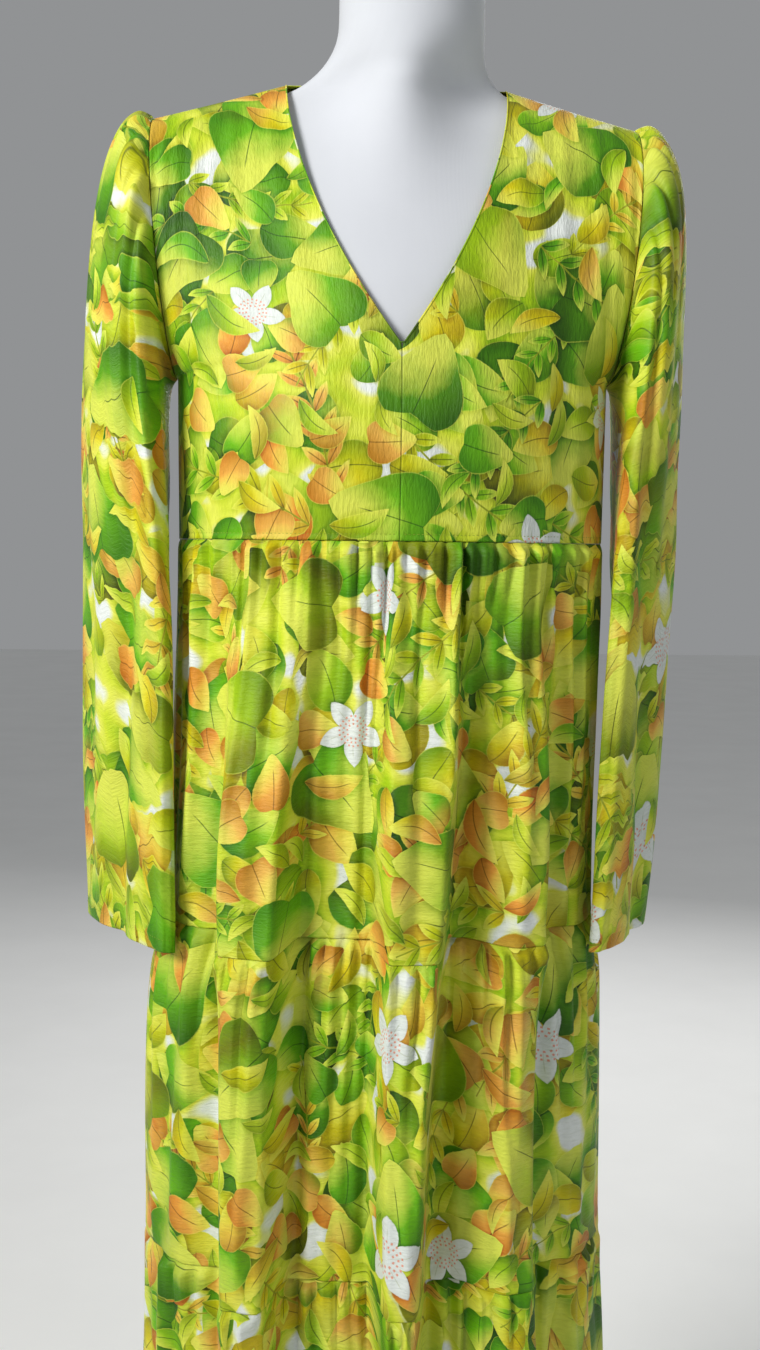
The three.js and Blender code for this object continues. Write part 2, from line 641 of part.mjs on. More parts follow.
const stand = new THREE.Group();
stand.add(formTorso('form_torso'));
stand.add(standPole('stand_pole'));
stand.add(standBase('stand_base'));

const part = new THREE.Group();
part.add(dress, stand);

export default part;
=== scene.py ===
"""Looks of a tiered silk dress with bell sleeves on a plain limbless dress form.

Metres, +Z up, the front of the dress towards -Y, +X to the right of someone facing it.
"""
import logging
import math
from dataclasses import dataclass, field
from enum import Enum
from typing import Callable, Sequence

import bpy
import numpy as np
from mathutils import Matrix, Vector


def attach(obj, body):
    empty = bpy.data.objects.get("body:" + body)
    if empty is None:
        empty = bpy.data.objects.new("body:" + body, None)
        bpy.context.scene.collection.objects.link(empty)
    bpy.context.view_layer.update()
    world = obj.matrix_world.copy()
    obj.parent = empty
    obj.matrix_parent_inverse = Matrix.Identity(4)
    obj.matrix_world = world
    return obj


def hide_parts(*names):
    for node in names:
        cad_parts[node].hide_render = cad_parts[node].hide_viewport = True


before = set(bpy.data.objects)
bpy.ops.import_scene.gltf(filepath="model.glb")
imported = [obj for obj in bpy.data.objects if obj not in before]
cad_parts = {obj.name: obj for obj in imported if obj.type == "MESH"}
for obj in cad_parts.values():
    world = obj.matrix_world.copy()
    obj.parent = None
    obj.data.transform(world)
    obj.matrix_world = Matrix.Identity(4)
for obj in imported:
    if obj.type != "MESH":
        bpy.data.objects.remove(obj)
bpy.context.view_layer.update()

BODY = "root"
CLOTH_ATTRIBUTE = "cloth"
FULL_TURN = 2 * math.pi
FLAT_TOP_Z = 1.5
SEAM_SAMPLES = 181

log = logging.getLogger("silk_dress")
Array = np.ndarray
Surface = Callable[[Array, Array], Array]


def smooth(place: Array) -> Array:
    """Ease from 0 to 1 with flat ends.

    Args:
        place: Where each value lies, 0 or less at the start and 1 or more at the end.

    Returns:
        The eased values.
    """
    inside = np.clip(place, 0.0, 1.0)
    return inside * inside * (3 - 2 * inside)


def lerp(start: Array, end: Array, share: Array) -> Array:
    """Return the value that lies a share of the way from start to end."""
    return start + (end - start) * share


def bump_at(place: Array, centre: Array, spread: Array) -> Array:
    """Return a soft bump of height 1 around a centre."""
    return np.exp(-(((place - centre) / spread) ** 2))


def ripple(place: Array, *waves: tuple[float, float, float]) -> Array:
    """Add up a few sine waves into an uneven ripple.

    Args:
        place: Where each value lies, 0 to 1.
        waves: Height, count of waves and phase of each.

    Returns:
        The ripple's height at each place.
    """
    total = np.zeros_like(np.asarray(place, dtype=float))
    for height, count, phase in waves:
        total = total + height * np.sin(place * count * FULL_TURN + phase)
    return total


def unit(vectors: Array) -> Array:
    """Return vectors brought to length 1."""
    return vectors / np.linalg.norm(vectors, axis=-1, keepdims=True)


def make_mesh(name: str, points: Array, faces: list[list[int]],
              places: Array | None = None) -> bpy.types.Mesh:
    """Make a mesh that may know where its points lie on the flat cloth.

    Args:
        name: The mesh's name.
        points: Its points.
        faces: Point numbers of each face.
        places: Place of each point on the flat cloth.

    Returns:
        The new mesh.
    """
    mesh = bpy.data.meshes.new(name)
    mesh.from_pydata(points.reshape(-1, 3).tolist(), [], faces)
    if places is not None:
        attribute = mesh.attributes.new(CLOTH_ATTRIBUTE, "FLOAT_VECTOR", "POINT")
        attribute.data.foreach_set("vector", places.ravel())
    return mesh


@dataclass(frozen=True)
class Table:
    """Rows of named columns, read on a smooth curve through the rows."""

    columns: tuple[str, ...]
    rows: tuple[tuple[float, ...], ...]

    def at(self, column: str, place: Array) -> Array:
        """Read one column at a place along the first column.

        Args:
            column: Name of the column to read.
            place: Values of the first column.

        Returns:
            The column's values on a smooth curve through the rows.
        """
        rows = np.array(sorted(self.rows))
        keys = rows[:, 0]
        values = rows[:, self.columns.index(column)]
        slopes = np.empty_like(values)
        slopes[1:-1] = (values[2:] - values[:-2]) / (keys[2:] - keys[:-2])
        slopes[0] = (values[1] - values[0]) / (keys[1] - keys[0])
        slopes[-1] = (values[-1] - values[-2]) / (keys[-1] - keys[-2])
        place = np.asarray(place, dtype=float)
        low = np.clip(np.searchsorted(keys, place, side="right") - 1, 0, len(keys) - 2)
        span = keys[low + 1] - keys[low]
        raw = (place - keys[low]) / span
        t = np.clip(raw, 0.0, 1.0)
        curve = (
            (2 * t**3 - 3 * t**2 + 1) * values[low]
            + (t**3 - 2 * t**2 + t) * span * slopes[low]
            + (3 * t**2 - 2 * t**3) * values[low + 1]
            + (t**3 - t**2) * span * slopes[low + 1]
        )
        edge_slope = np.where(raw < 0, slopes[0], slopes[-1])
        return curve + (raw - t) * span * edge_slope


@dataclass(frozen=True)
class DressSizes:
    """Driving sizes of the dress, the same as those of its solids."""

    neck_point_z: float = 1.482
    neck_half: float = 0.091
    v_point_z: float = 1.258
    v_depth: float = 0.117
    shoulder_tip_z: float = 1.451
    underarm_z: float = 1.240
    underarm_half: float = 0.180
    shoulder_half: float = 0.199
    armhole_depth: float = 0.048
    armhole_bow: float = 0.006
    empire_z: float = 1.107
    empire_half: float = 0.179
    empire_front: float = 0.116
    empire_back: float = 0.094
    back_neck_z: float = 1.462
    back_neck_depth: float = 0.062
    shoulder_y: float = 0.002
    tier_seams_z: tuple[float, ...] = (1.107, 0.790, 0.508)
    hem_z: float = 0.185
    seam_gap: float = 0.0002
    silk_thickness: float = 0.0004


SIZES = DressSizes()

SKIRT = Table(
    ("z", "half", "front", "back", "sway"),
    (
        (1.107, SIZES.empire_half, SIZES.empire_front, SIZES.empire_back, 0.0),
        (1.040, 0.180, 0.113, 0.098, -0.001),
        (0.950, 0.181, 0.109, 0.103, -0.003),
        (0.860, 0.182, 0.107, 0.107, -0.005),
        (0.790, 0.185, 0.106, 0.110, -0.006),
        (0.740, 0.195, 0.107, 0.113, -0.008),
        (0.650, 0.199, 0.109, 0.117, -0.009),
        (0.508, 0.200, 0.112, 0.121, -0.008),
        (0.391, 0.204, 0.114, 0.125, -0.006),
        (0.185, 0.212, 0.117, 0.130, -0.004),
    ),
)

BODICE_CENTRE = Table(
    ("z", "front", "back"),
    (
        (1.107, SIZES.empire_front, SIZES.empire_back),
        (1.160, 0.121, 0.096),
        (1.205, 0.123, 0.097),
        (1.258, SIZES.v_depth, 0.099),
        (1.330, 0.100, 0.097),
        (1.400, 0.075, 0.086),
        (1.462, 0.040, SIZES.back_neck_depth),
    ),
)


class Side(Enum):
    """Side of the dress as someone facing it sees it, with its sign along X."""

    LEFT = -1
    RIGHT = 1


class Face(Enum):
    """Front or back of the dress, with its sign along Y."""

    FRONT = -1
    BACK = 1


@dataclass(frozen=True)
class SkirtFold:
    """One large raised fold of the skirt, from the empire seam to the hem."""

    from_top: float
    from_hem: float
    to_top: float
    to_hem: float
    rise: float
    rise_hem: float
    flank_from: float
    flank_to: float
    valley_width: float = 0.0075
    full_rise: float = 0.024

    def fall_at(self, z: Array) -> Array:
        """Return the share of the way from the empire seam down to the hem."""
        return (SIZES.empire_z - z) / (SIZES.empire_z - SIZES.hem_z)

    def rise_at(self, x: Array, z: Array) -> Array:
        """Height of the fold at a place of the skirt.

        Args:
            x: Places across the skirt.
            z: Heights above the floor.

        Returns:
            How far the fold stands out there.
        """
        fall = self.fall_at(z)
        start = lerp(self.from_top, self.from_hem, fall)
        end = lerp(self.to_top, self.to_hem, fall)
        lower = lerp(self.rise, self.rise_hem, (fall - 0.5) * 2)
        rise = np.where(fall < 0.5, self.rise * smooth(fall / 0.3), lower)
        left = smooth((x - start + self.flank_from / 2) / self.flank_from)
        right = smooth((end - x + self.flank_to / 2) / self.flank_to)
        return rise * left * right

    def valley_at(self, x: Array, z: Array) -> Array:
        """Depth of the narrow valleys beside the fold at a place of the skirt.

        Args:
            x: Places across the skirt.
            z: Heights above the floor.

        Returns:
            How far the cloth dips there, as a share of its full depth.
        """
        fall = self.fall_at(z)
        start = lerp(self.from_top, self.from_hem, fall) - self.flank_from * 0.75
        end = lerp(self.to_top, self.to_hem, fall) + self.flank_to * 0.75
        beside = bump_at(x, end, self.valley_width) + 0.5 * bump_at(x, start, self.valley_width)
        return beside * smooth(fall / 0.12) * min(1.0, self.rise / self.full_rise)


SKIRT_FOLDS = {
    Face.FRONT: (
        SkirtFold(-0.168, -0.182, -0.142, -0.146, 0.004, 0.009, 0.020, 0.018),
        SkirtFold(-0.127, -0.116, -0.070, -0.087, 0.040, 0.050, 0.017, 0.015),
        SkirtFold(-0.010, 0.001, 0.056, 0.016, 0.040, 0.052, 0.016, 0.018),
        SkirtFold(0.084, 0.074, 0.128, 0.118, 0.024, 0.034, 0.044, 0.016),
        SkirtFold(0.148, 0.154, 0.168, 0.182, 0.004, 0.009, 0.016, 0.020),
    ),
    Face.BACK: (
        SkirtFold(-0.166, -0.180, -0.142, -0.150, 0.004, 0.008, 0.020, 0.018),
        SkirtFold(-0.112, -0.124, -0.066, -0.082, 0.026, 0.038, 0.024, 0.016),
        SkirtFold(-0.032, -0.026, 0.014, 0.008, 0.032, 0.044, 0.017, 0.022),
        SkirtFold(0.062, 0.070, 0.118, 0.112, 0.028, 0.040, 0.018, 0.026),
        SkirtFold(0.146, 0.154, 0.166, 0.180, 0.004, 0.008, 0.018, 0.020),
    ),
}
FOLD_SAG = 0.26


class NodeGraph:
    """Shader nodes of one material, made from plain expressions."""

    def __init__(self, material: bpy.types.Material) -> None:
        """Start with an empty node tree.

        Args:
            material: The material whose nodes are made.
        """
        self.material = material
        material.use_nodes = True
        self.tree = material.node_tree
        self.tree.nodes.clear()

    def node(self, kind: str, settings: dict | None = None, **inputs: object) -> bpy.types.Node:
        """Add one node.

        Args:
            kind: Node type.
            settings: Properties that are set before the sockets.
            inputs: Socket values or links, by socket name with underscores for spaces or by in0, in1.

        Returns:
            The new node.
        """
        made = self.tree.nodes.new(kind)
        for name, value in (settings or {}).items():
            setattr(made, name, value)
        for name, value in inputs.items():
            index = name[2:]
            socket = made.inputs[int(index)] if index.isdigit() else made.inputs[name.replace("_", " ")]
            self.feed(socket, value)
        return made

    def feed(self, socket: bpy.types.NodeSocket, value: object) -> None:
        """Link a value to a socket or set it there.

        Args:
            socket: The input socket.
            value: A Value, a node socket, or a plain number, vector or colour.
        """
        if isinstance(value, Value):
            self.tree.links.new(value.socket, socket)
        elif isinstance(value, bpy.types.NodeSocket):
            self.tree.links.new(value, socket)
        else:
            socket.default_value = value

    def attribute(self, name: str) -> "Value":
        """Read a vector attribute of the mesh."""
        made = self.node("ShaderNodeAttribute", {"attribute_name": name})
        return Value(self, made.outputs["Vector"])

    def parts(self, vector: "Value") -> tuple["Value", "Value"]:
        """Split a vector into its first two numbers."""
        made = self.node("ShaderNodeSeparateXYZ", None, in0=vector)
        return Value(self, made.outputs[0]), Value(self, made.outputs[1])

    def vector(self, x: object, y: object, z: object = 0.0) -> "Value":
        """Join three numbers into a vector."""
        made = self.node("ShaderNodeCombineXYZ", None, in0=x, in1=y, in2=z)
        return Value(self, made.outputs[0])

    def vector_math(self, operation: str, first: object, second: object) -> "Value":
        """Work on two vectors or colours."""
        made = self.node("ShaderNodeVectorMath", {"operation": operation}, in0=first, in1=second)
        return Value(self, made.outputs["Vector"])

    def mix(self, share: object, first: object, second: object) -> "Value":
        """Mix two colours.

        Args:
            share: How much of the second colour shows.
            first: Colour at share 0.
            second: Colour at share 1.

        Returns:
            The mixed colour.
        """
        first, second = ((*each, 1.0) if isinstance(each, tuple) else each for each in (first, second))
        made = self.node("ShaderNodeMix", {"data_type": "RGBA", "blend_type": "MIX", "clamp_factor": True},
                         in0=share, in6=first, in7=second)
        return Value(self, made.outputs[2])

    def noise(self, vector: "Value", scale: float, detail: float = 2.0, rough: float = 0.5) -> "Value":
        """Return soft noise around 0.5."""
        made = self.node("ShaderNodeTexNoise", None, Vector=vector, Scale=scale, Detail=detail,
                         Roughness=rough)
        return Value(self, made.outputs[0])

    def chance(self, vector: "Value") -> tuple["Value", "Value", "Value"]:
        """Draw three even random numbers for each whole-numbered place.

        Args:
            vector: The place.

        Returns:
            The three numbers.
        """
        made = self.node("ShaderNodeTexWhiteNoise", {"noise_dimensions": "3D"}, Vector=vector)
        colour = Value(self, made.outputs["Color"])
        split = self.node("ShaderNodeSeparateXYZ", None, in0=colour)
        return tuple(Value(self, split.outputs[i]) for i in range(3))

    def ramp(self, place: "Value", stops: Sequence[tuple[float, tuple[float, float, float]]]) -> "Value":
        """Turn a number into a colour.

        Args:
            place: The number, 0 to 1.
            stops: Place and colour of each stop.

        Returns:
            The colour.
        """
        made = self.tree.nodes.new("ShaderNodeValToRGB")
        elements = made.color_ramp.elements
        while len(elements) < len(stops):
            elements.new(1.0)
        for element, (position, colour) in zip(elements, stops):
            element.position = position
            element.color = (*colour, 1.0)
        self.feed(made.inputs[0], place)
        return Value(self, made.outputs[0])

    def finish(self, bump: tuple[float, float], relief: "Value", **inputs: object) -> bpy.types.Material:
        """Add the bump, the shader and the output.

        Args:
            bump: Strength and distance of the bump.
            relief: Height that the bump follows.
            inputs: Inputs of the shader, by name with underscores for spaces.

        Returns:
            The finished material.
        """
        raised = self.node("ShaderNodeBump", None, Strength=bump[0], Distance=bump[1], Height=relief)
        shader = self.node("ShaderNodeBsdfPrincipled", None, Normal=raised.outputs[0], **inputs)
        self.node("ShaderNodeOutputMaterial", None, Surface=shader.outputs[0])
        return self.material


class Value:
    """A number, vector or colour socket that Python operators work on."""

    def __init__(self, graph: NodeGraph, socket: bpy.types.NodeSocket) -> None:
        """Wrap a socket.

        Args:
            graph: The graph that the socket belongs to.
            socket: An output socket.
        """
        self.graph = graph
        self.socket = socket

    def math(self, operation: str, *others: object) -> "Value":
        """Add a Math node with this value as its first input.

        Args:
            operation: The node's operation.
            others: Its other inputs.

        Returns:
            The result.
        """
        inputs = {f"in{i + 1}": other for i, other in enumerate(others)}
        made = self.graph.node("ShaderNodeMath", {"operation": operation}, in0=self, **inputs)
        return Value(self.graph, made.outputs[0])

    def math_from(self, operation: str, first: float) -> "Value":
        """Add a Math node with this value as its second input."""
        made = self.graph.node("ShaderNodeMath", {"operation": operation}, in0=first, in1=self)
        return Value(self.graph, made.outputs[0])

    def __add__(self, other: object) -> "Value":
        """Return the sum."""
        return self.math("ADD", other)

    def __sub__(self, other: object) -> "Value":
        """Return the difference."""
        return self.math("SUBTRACT", other)

    def __rsub__(self, other: float) -> "Value":
        """Return a plain number less this value."""
        return self.math_from("SUBTRACT", other)

    def __mul__(self, other: object) -> "Value":
        """Return the product."""
        return self.math("MULTIPLY", other)

    def __truediv__(self, other: object) -> "Value":
        """Return the quotient."""
        return self.math("DIVIDE", other)

    def __pow__(self, other: object) -> "Value":
        """Return this value to a power."""
        return self.math("POWER", other)

    def absolute(self) -> "Value":
        """Return the value without its sign."""
        return self.math("ABSOLUTE")

    def above(self, edge: object, soft: float) -> "Value":
        """Return 1 well above an edge and 0 well below it, with a soft step between.

        Args:
            edge: Where the step lies.
            soft: Width of the step.

        Returns:
            The mask.
        """
        return ((self - edge) / soft + 0.5).clamped()

    def clamped(self) -> "Value":
        """Return the value held between 0 and 1."""
        made = self.graph.node("ShaderNodeClamp", None, in0=self)
        return Value(self.graph, made.outputs[0])


Colour = tuple[float, float, float]


def srgb(red: int, green: int, blue: int) -> Colour:
    """Turn screen colour numbers of 0 to 255 into linear ones.

    Args:
        red: Red, 0 to 255.
        green: Green, 0 to 255.
        blue: Blue, 0 to 255.

    Returns:
        The linear colour.
    """
    def linear(value: int) -> float:
        """Return one linear number."""
        share = value / 255
        return share / 12.92 if share <= 0.04045 else ((share + 0.055) / 1.055) ** 2.4

    return linear(red), linear(green), linear(blue)


DEEP_GREEN = srgb(72, 126, 2)
LEAF_GREEN = srgb(92, 158, 6)
BRIGHT_GREEN = srgb(112, 186, 12)
LIME = srgb(164, 200, 14)
YELLOW = srgb(220, 204, 4)
PALE_LIME = srgb(204, 218, 50)
PALEST_LIME = srgb(224, 228, 88)
OLIVE = srgb(132, 142, 6)
PEACH = srgb(232, 184, 84)
ORANGE = srgb(236, 162, 60)
ROSE = srgb(226, 128, 90)
SILK_WHITE = srgb(228, 233, 228)
COOL_SHADE = srgb(200, 210, 204)


class Motif(Enum):
    """Shapes that the print scatters."""

    LEAF = "leaf"
    SPRIG = "sprig"
    BLOSSOM = "blossom"


@dataclass(frozen=True)
class PrintLayer:
    """One scattered layer of the print, its sizes in metres."""

    motif: Motif
    cell: float
    length: float
    width: float
    share: float
    turn: float
    stops: tuple[tuple[float, Colour], ...]
    roundness: float = 0.5
    notch: float = 0.0


UNDER_LEAVES = ((0.0, DEEP_GREEN), (0.3, LEAF_GREEN), (0.5, OLIVE), (0.7, YELLOW), (1.0, PEACH))
MIXED_LEAVES = ((0.0, LEAF_GREEN), (0.3, BRIGHT_GREEN), (0.55, LIME), (0.75, YELLOW), (1.0, PEACH))
LIGHT_LEAVES = ((0.0, BRIGHT_GREEN), (0.3, LIME), (0.55, YELLOW), (0.75, PEACH), (1.0, ORANGE))
GREAT_LEAVES = ((0.0, DEEP_GREEN), (0.3, LEAF_GREEN), (0.6, BRIGHT_GREEN), (0.85, OLIVE), (1.0, LIME))
PALE_LEAVES = ((0.0, BRIGHT_GREEN), (0.4, PALE_LIME), (0.7, LIME), (1.0, PEACH))
WARM_LEAVES = ((0.0, LEAF_GREEN), (0.25, BRIGHT_GREEN), (0.42, PEACH), (0.75, ORANGE), (1.0, PEACH))
WHITES = ((0.0, SILK_WHITE), (1.0, COOL_SHADE))
PETALS = 5
SHADOW_REACH = 0.0055
SHADOW_SHARE = 0.5
EDGE_FROM, EDGE_SOFT = 0.0003, 0.0007
LEAN = 0.72
GROUND_STOPS = ((0.34, LIME), (0.45, PALE_LIME), (0.55, PALEST_LIME), (0.62, SILK_WHITE))
STAMEN_RINGS = ((0.20, 19.0), (0.15, 15.0), (0.10, 9.0))
PRINT_LAYERS = (
    PrintLayer(Motif.LEAF, 0.074, 0.072, 0.056, 1.0, 1.3, UNDER_LEAVES, 0.5),
    PrintLayer(Motif.LEAF, 0.060, 0.058, 0.040, 0.94, 2.6, MIXED_LEAVES, 0.55),
    PrintLayer(Motif.SPRIG, 0.132, 0.126, 0.040, 0.92, 0.5, LIGHT_LEAVES, 0.8),
    PrintLayer(Motif.LEAF, 0.104, 0.082, 0.076, 0.74, 0.2, GREAT_LEAVES, 0.46, 0.16),
    PrintLayer(Motif.LEAF, 0.051, 0.048, 0.030, 0.58, 4.4, LIGHT_LEAVES, 0.6),
    PrintLayer(Motif.SPRIG, 0.150, 0.140, 0.044, 0.72, 2.2, MIXED_LEAVES, 0.8),
    PrintLayer(Motif.LEAF, 0.058, 0.046, 0.040, 0.62, 0.9, WARM_LEAVES, 0.5, 0.10),
    PrintLayer(Motif.LEAF, 0.050, 0.044, 0.016, 0.50, 3.1, PALE_LEAVES, 0.8),
    PrintLayer(Motif.LEAF, 0.118, 0.088, 0.082, 0.70, 5.2, GREAT_LEAVES, 0.44, 0.14),
    PrintLayer(Motif.BLOSSOM, 0.150, 0.072, 0.072, 0.30, 1.9, WHITES),
    PrintLayer(Motif.LEAF, 0.066, 0.054, 0.022, 0.45, 5.7, LIGHT_LEAVES, 0.8),
)


class LeafPrint:
    """The print: overlapping leaves, sprigs and blossoms scattered in layers over the flat cloth."""

    def __init__(self, graph: NodeGraph, cloth: Value) -> None:
        """Keep what every layer needs.

        Args:
            graph: The material's graph.
            cloth: Place on the flat cloth, in metres.
        """
        self.graph = graph
        self.cloth = cloth
        wash = graph.noise(cloth, 46.0, 3.0, 0.6)
        self.wash = (wash - 0.5) * 1.5
        grain = graph.noise(cloth, 420.0, 1.0, 0.5)
        self.edge_grain = (grain - 0.5) * 0.0011
        self.warm = graph.noise(cloth, 6.5, 1.0, 0.4)

    def paint(self) -> Value:
        """Lay all the layers over the ground.

        Returns:
            The print's colour.
        """
        colour = self.graph.ramp(self.graph.noise(self.cloth, 22.0, 1.0), GROUND_STOPS)
        for index, layer in enumerate(PRINT_LAYERS):
            mask, shadow, paint = self.layer(layer, 3.7 * index + 1.0)
            darker = self.graph.vector_math("MULTIPLY", colour, colour)
            colour = self.graph.mix(shadow * SHADOW_SHARE, colour, darker)
            colour = self.graph.mix(mask, colour, paint)
        return colour

    def layer(self, layer: PrintLayer, seed: float) -> tuple[Value, Value, Value]:
        """Scatter one layer's motif, one in each cell of a turned grid.

        Args:
            layer: The layer's sizes and colours.
            seed: Number that sets the layer apart from the others.

        Returns:
            The layer's mask, the shadow round it and its colour.
        """
        graph = self.graph
        x, y = graph.parts(self.cloth)
        turn_x = math.cos(layer.turn) / layer.cell
        turn_y = math.sin(layer.turn) / layer.cell
        across = x * turn_x + y * turn_y + seed * 1.37
        along = y * turn_x - x * turn_y + seed * 2.11
        cell_across = across.math("FLOOR")
        cell_along = along.math("FLOOR")
        first, second, third = graph.chance(graph.vector(cell_across, cell_along, seed))
        fourth, fifth, sixth = graph.chance(graph.vector(cell_along, cell_across, seed + 40.0))
        room = max(0.0, 1.0 - layer.length / layer.cell)
        offset_x = across - cell_across - 0.5 - (first - 0.5) * room
        offset_y = along - cell_along - 0.5 - (second - 0.5) * room
        angle = third * FULL_TURN
        grow = (sixth * 0.26 + 0.74).math_from("DIVIDE", layer.cell)
        cosine = angle.math("COSINE") * grow
        sine = angle.math("SINE") * grow
        local_x = offset_x * cosine + offset_y * sine
        local_y = offset_y * cosine - offset_x * sine
        shown = fourth.math("LESS_THAN", layer.share)
        pick = fifth * 0.72 + (self.warm - 0.5) * 1.6 + 0.15
        if layer.motif is Motif.BLOSSOM:
            mask, inside, paint = self.blossom(layer, local_x, local_y)
        else:
            draw = self.leaf if layer.motif is Motif.LEAF else self.sprig
            mask, inside, paint = draw(layer, local_x, local_y, pick)
        shadow = (inside / SHADOW_REACH + 1.0).clamped()
        return mask * shown, shadow * shown, paint

    def leaf_form(self, place: Value, side: Value, half_width: float, layer: PrintLayer) -> Value:
        """Distance inside a leaf's outline, positive within the leaf.

        Args:
            place: Share along the leaf, 0 at its base and 1 at its tip.
            side: Distance from the midrib.
            half_width: Half of the leaf's width.
            layer: The layer, for its round or notched base.

        Returns:
            The distance to the outline, measured across the leaf.
        """
        rounded = layer.roundness
        held = place
        if layer.notch > 0:
            held = place - (1.0 - side / (half_width * 0.62)).clamped() * layer.notch
        held = held.clamped()
        tip = 0.95
        peak = rounded / (rounded + tip)
        top = peak**rounded * (1 - peak) ** tip
        outline = (held**rounded) * ((1.0 - held) ** tip) * (half_width / top)
        beyond = ((place - 0.5).absolute() - 0.5).math("MAXIMUM", 0.0) * 0.09
        return outline - side - beyond

    def leaf_paint(self, layer: PrintLayer, place: Value, across: Value, inside: Value,
                   pick: Value) -> Value:
        """Colour of a leaf: deep at its base and rim, pale towards its tip, with a dark midrib.

        Args:
            layer: The layer's colours.
            place: Share along the leaf.
            across: Distance from the midrib, below zero on one side.
            inside: Distance inside the outline.
            pick: Random number of the leaf.

        Returns:
            The colour.
        """
        graph = self.graph
        base = graph.ramp(pick + self.wash * 0.1, layer.stops)
        dimmed = graph.vector_math("MULTIPLY", base, (0.35, 0.35, 0.35))
        dimmed = graph.vector_math("ADD", dimmed, (0.30, 0.32, 0.12))
        deep = graph.vector_math("MULTIPLY", base, dimmed)
        tone = (0.5 - place) * 1.2 + across * (0.8 / layer.width) + self.wash * 0.28 - inside * 9.0
        paint = graph.mix((tone * -1.9 - 0.05).clamped() * 0.85, base, PALEST_LIME)
        paint = graph.mix((tone * 1.3 + 0.22).clamped(), paint, deep)
        halo = 1.0 - inside.above(0.0010, 0.0009)
        paint = graph.mix(halo * 0.5, paint, PALEST_LIME)
        rib = (1.0 - across.absolute().above(0.00045, 0.0006)) * (1.0 - place.above(0.74, 0.12))
        darkest = graph.vector_math("MULTIPLY", deep, (0.4, 0.45, 0.4))
        return graph.mix(rib * 0.85, paint, darkest)

    def leaf(self, layer: PrintLayer, x: Value, y: Value, pick: Value) -> tuple[Value, Value, Value]:
        """One leaf along the local X axis.

        Args:
            layer: The layer's sizes and colours.
            x: Distance along the leaf from its middle.
            y: Distance across the leaf.
            pick: Random number of the leaf.

        Returns:
            The leaf's mask, distance inside its outline and colour.
        """
        curved = y + x * x * (1.0 - layer.width / layer.length) * (1.0 / layer.length)
        place = x / layer.length + 0.5
        inside = self.leaf_form(place, curved.absolute(), layer.width / 2, layer) + self.edge_grain
        mask = inside.above(EDGE_FROM, EDGE_SOFT)
        return mask, inside, self.leaf_paint(layer, place, curved, inside, pick)

    def sprig(self, layer: PrintLayer, x: Value, y: Value, pick: Value) -> tuple[Value, Value, Value]:
        """A thin stem with pairs of small leaves.

        Args:
            layer: The layer's sizes and colours.
            x: Distance along the stem from its middle.
            y: Distance across the stem.
            pick: Random number of the sprig.

        Returns:
            The sprig's mask, distance inside its outline and colour.
        """
        curved = y + x * x * 1.6
        side = curved.absolute()
        pitch = layer.length / 6
        start = x + layer.length / 2
        turn = start / pitch
        own = (turn - turn.math("FLOOR")) * pitch
        along = own * math.cos(LEAN) + side * math.sin(LEAN)
        across = side * math.cos(LEAN) - own * math.sin(LEAN)
        place = along / (pitch * 1.28)
        inside = self.leaf_form(place, across.absolute(), pitch * 0.24, layer) + self.edge_grain
        within = (layer.length / 2 - x.absolute()).above(0.0, 0.0005)
        leaves = inside.above(EDGE_FROM, EDGE_SOFT) * within
        stem = (1.0 - side.above(0.0008, 0.0006)) * within
        paint = self.leaf_paint(layer, place, across, inside, pick)
        paint = self.graph.mix(stem * 0.8, paint, OLIVE)
        return leaves.math("MAXIMUM", stem), inside - (1.0 - within) * 0.1, paint

    def blossom(self, layer: PrintLayer, x: Value, y: Value) -> tuple[Value, Value, Value]:
        """An open blossom with rings of small stamens.

        Args:
            layer: The layer's sizes and colours.
            x: Distance from the blossom's middle.
            y: The same, crosswise.

        Returns:
            The blossom's mask, distance inside its outline and colour.
        """
        graph = self.graph
        reach = (x * x + y * y).math("SQRT")
        angle = y.math("ARCTAN2", x)
        turn = angle * (PETALS / FULL_TURN) + 0.5 + reach * 2.4
        lobe = 1.0 - (turn - turn.math("FLOOR") - 0.5).absolute() * 2.0
        outline = (lobe**0.8) * (layer.length * 0.29) + layer.length * 0.2
        inside = outline - reach + self.edge_grain + self.wash * 0.0022
        mask = inside.above(0.0002, 0.0007)
        shade = graph.mix((self.wash * 0.6 + 0.3).clamped(), SILK_WHITE, COOL_SHADE)
        paint = graph.mix((1.0 - inside.above(0.0008, 0.0012)) * 0.25, shade, OLIVE)
        fold = 1.0 - (lobe - 1.0).absolute().above(0.035, 0.03)
        fold = fold * (1.0 - reach.above(layer.length * 0.34, 0.004))
        paint = graph.mix(fold * 0.3, paint, OLIVE)
        for share, count in STAMEN_RINGS:
            off = (reach - layer.length * share - self.wash * 0.003).absolute()
            beads = (angle * count + share * 40.0).math("SINE").above(0.35, 0.4)
            ring = (1.0 - off.above(0.0009, 0.0008)) * beads
            paint = graph.mix(ring * 0.8, paint, ROSE)
        return mask, inside, paint


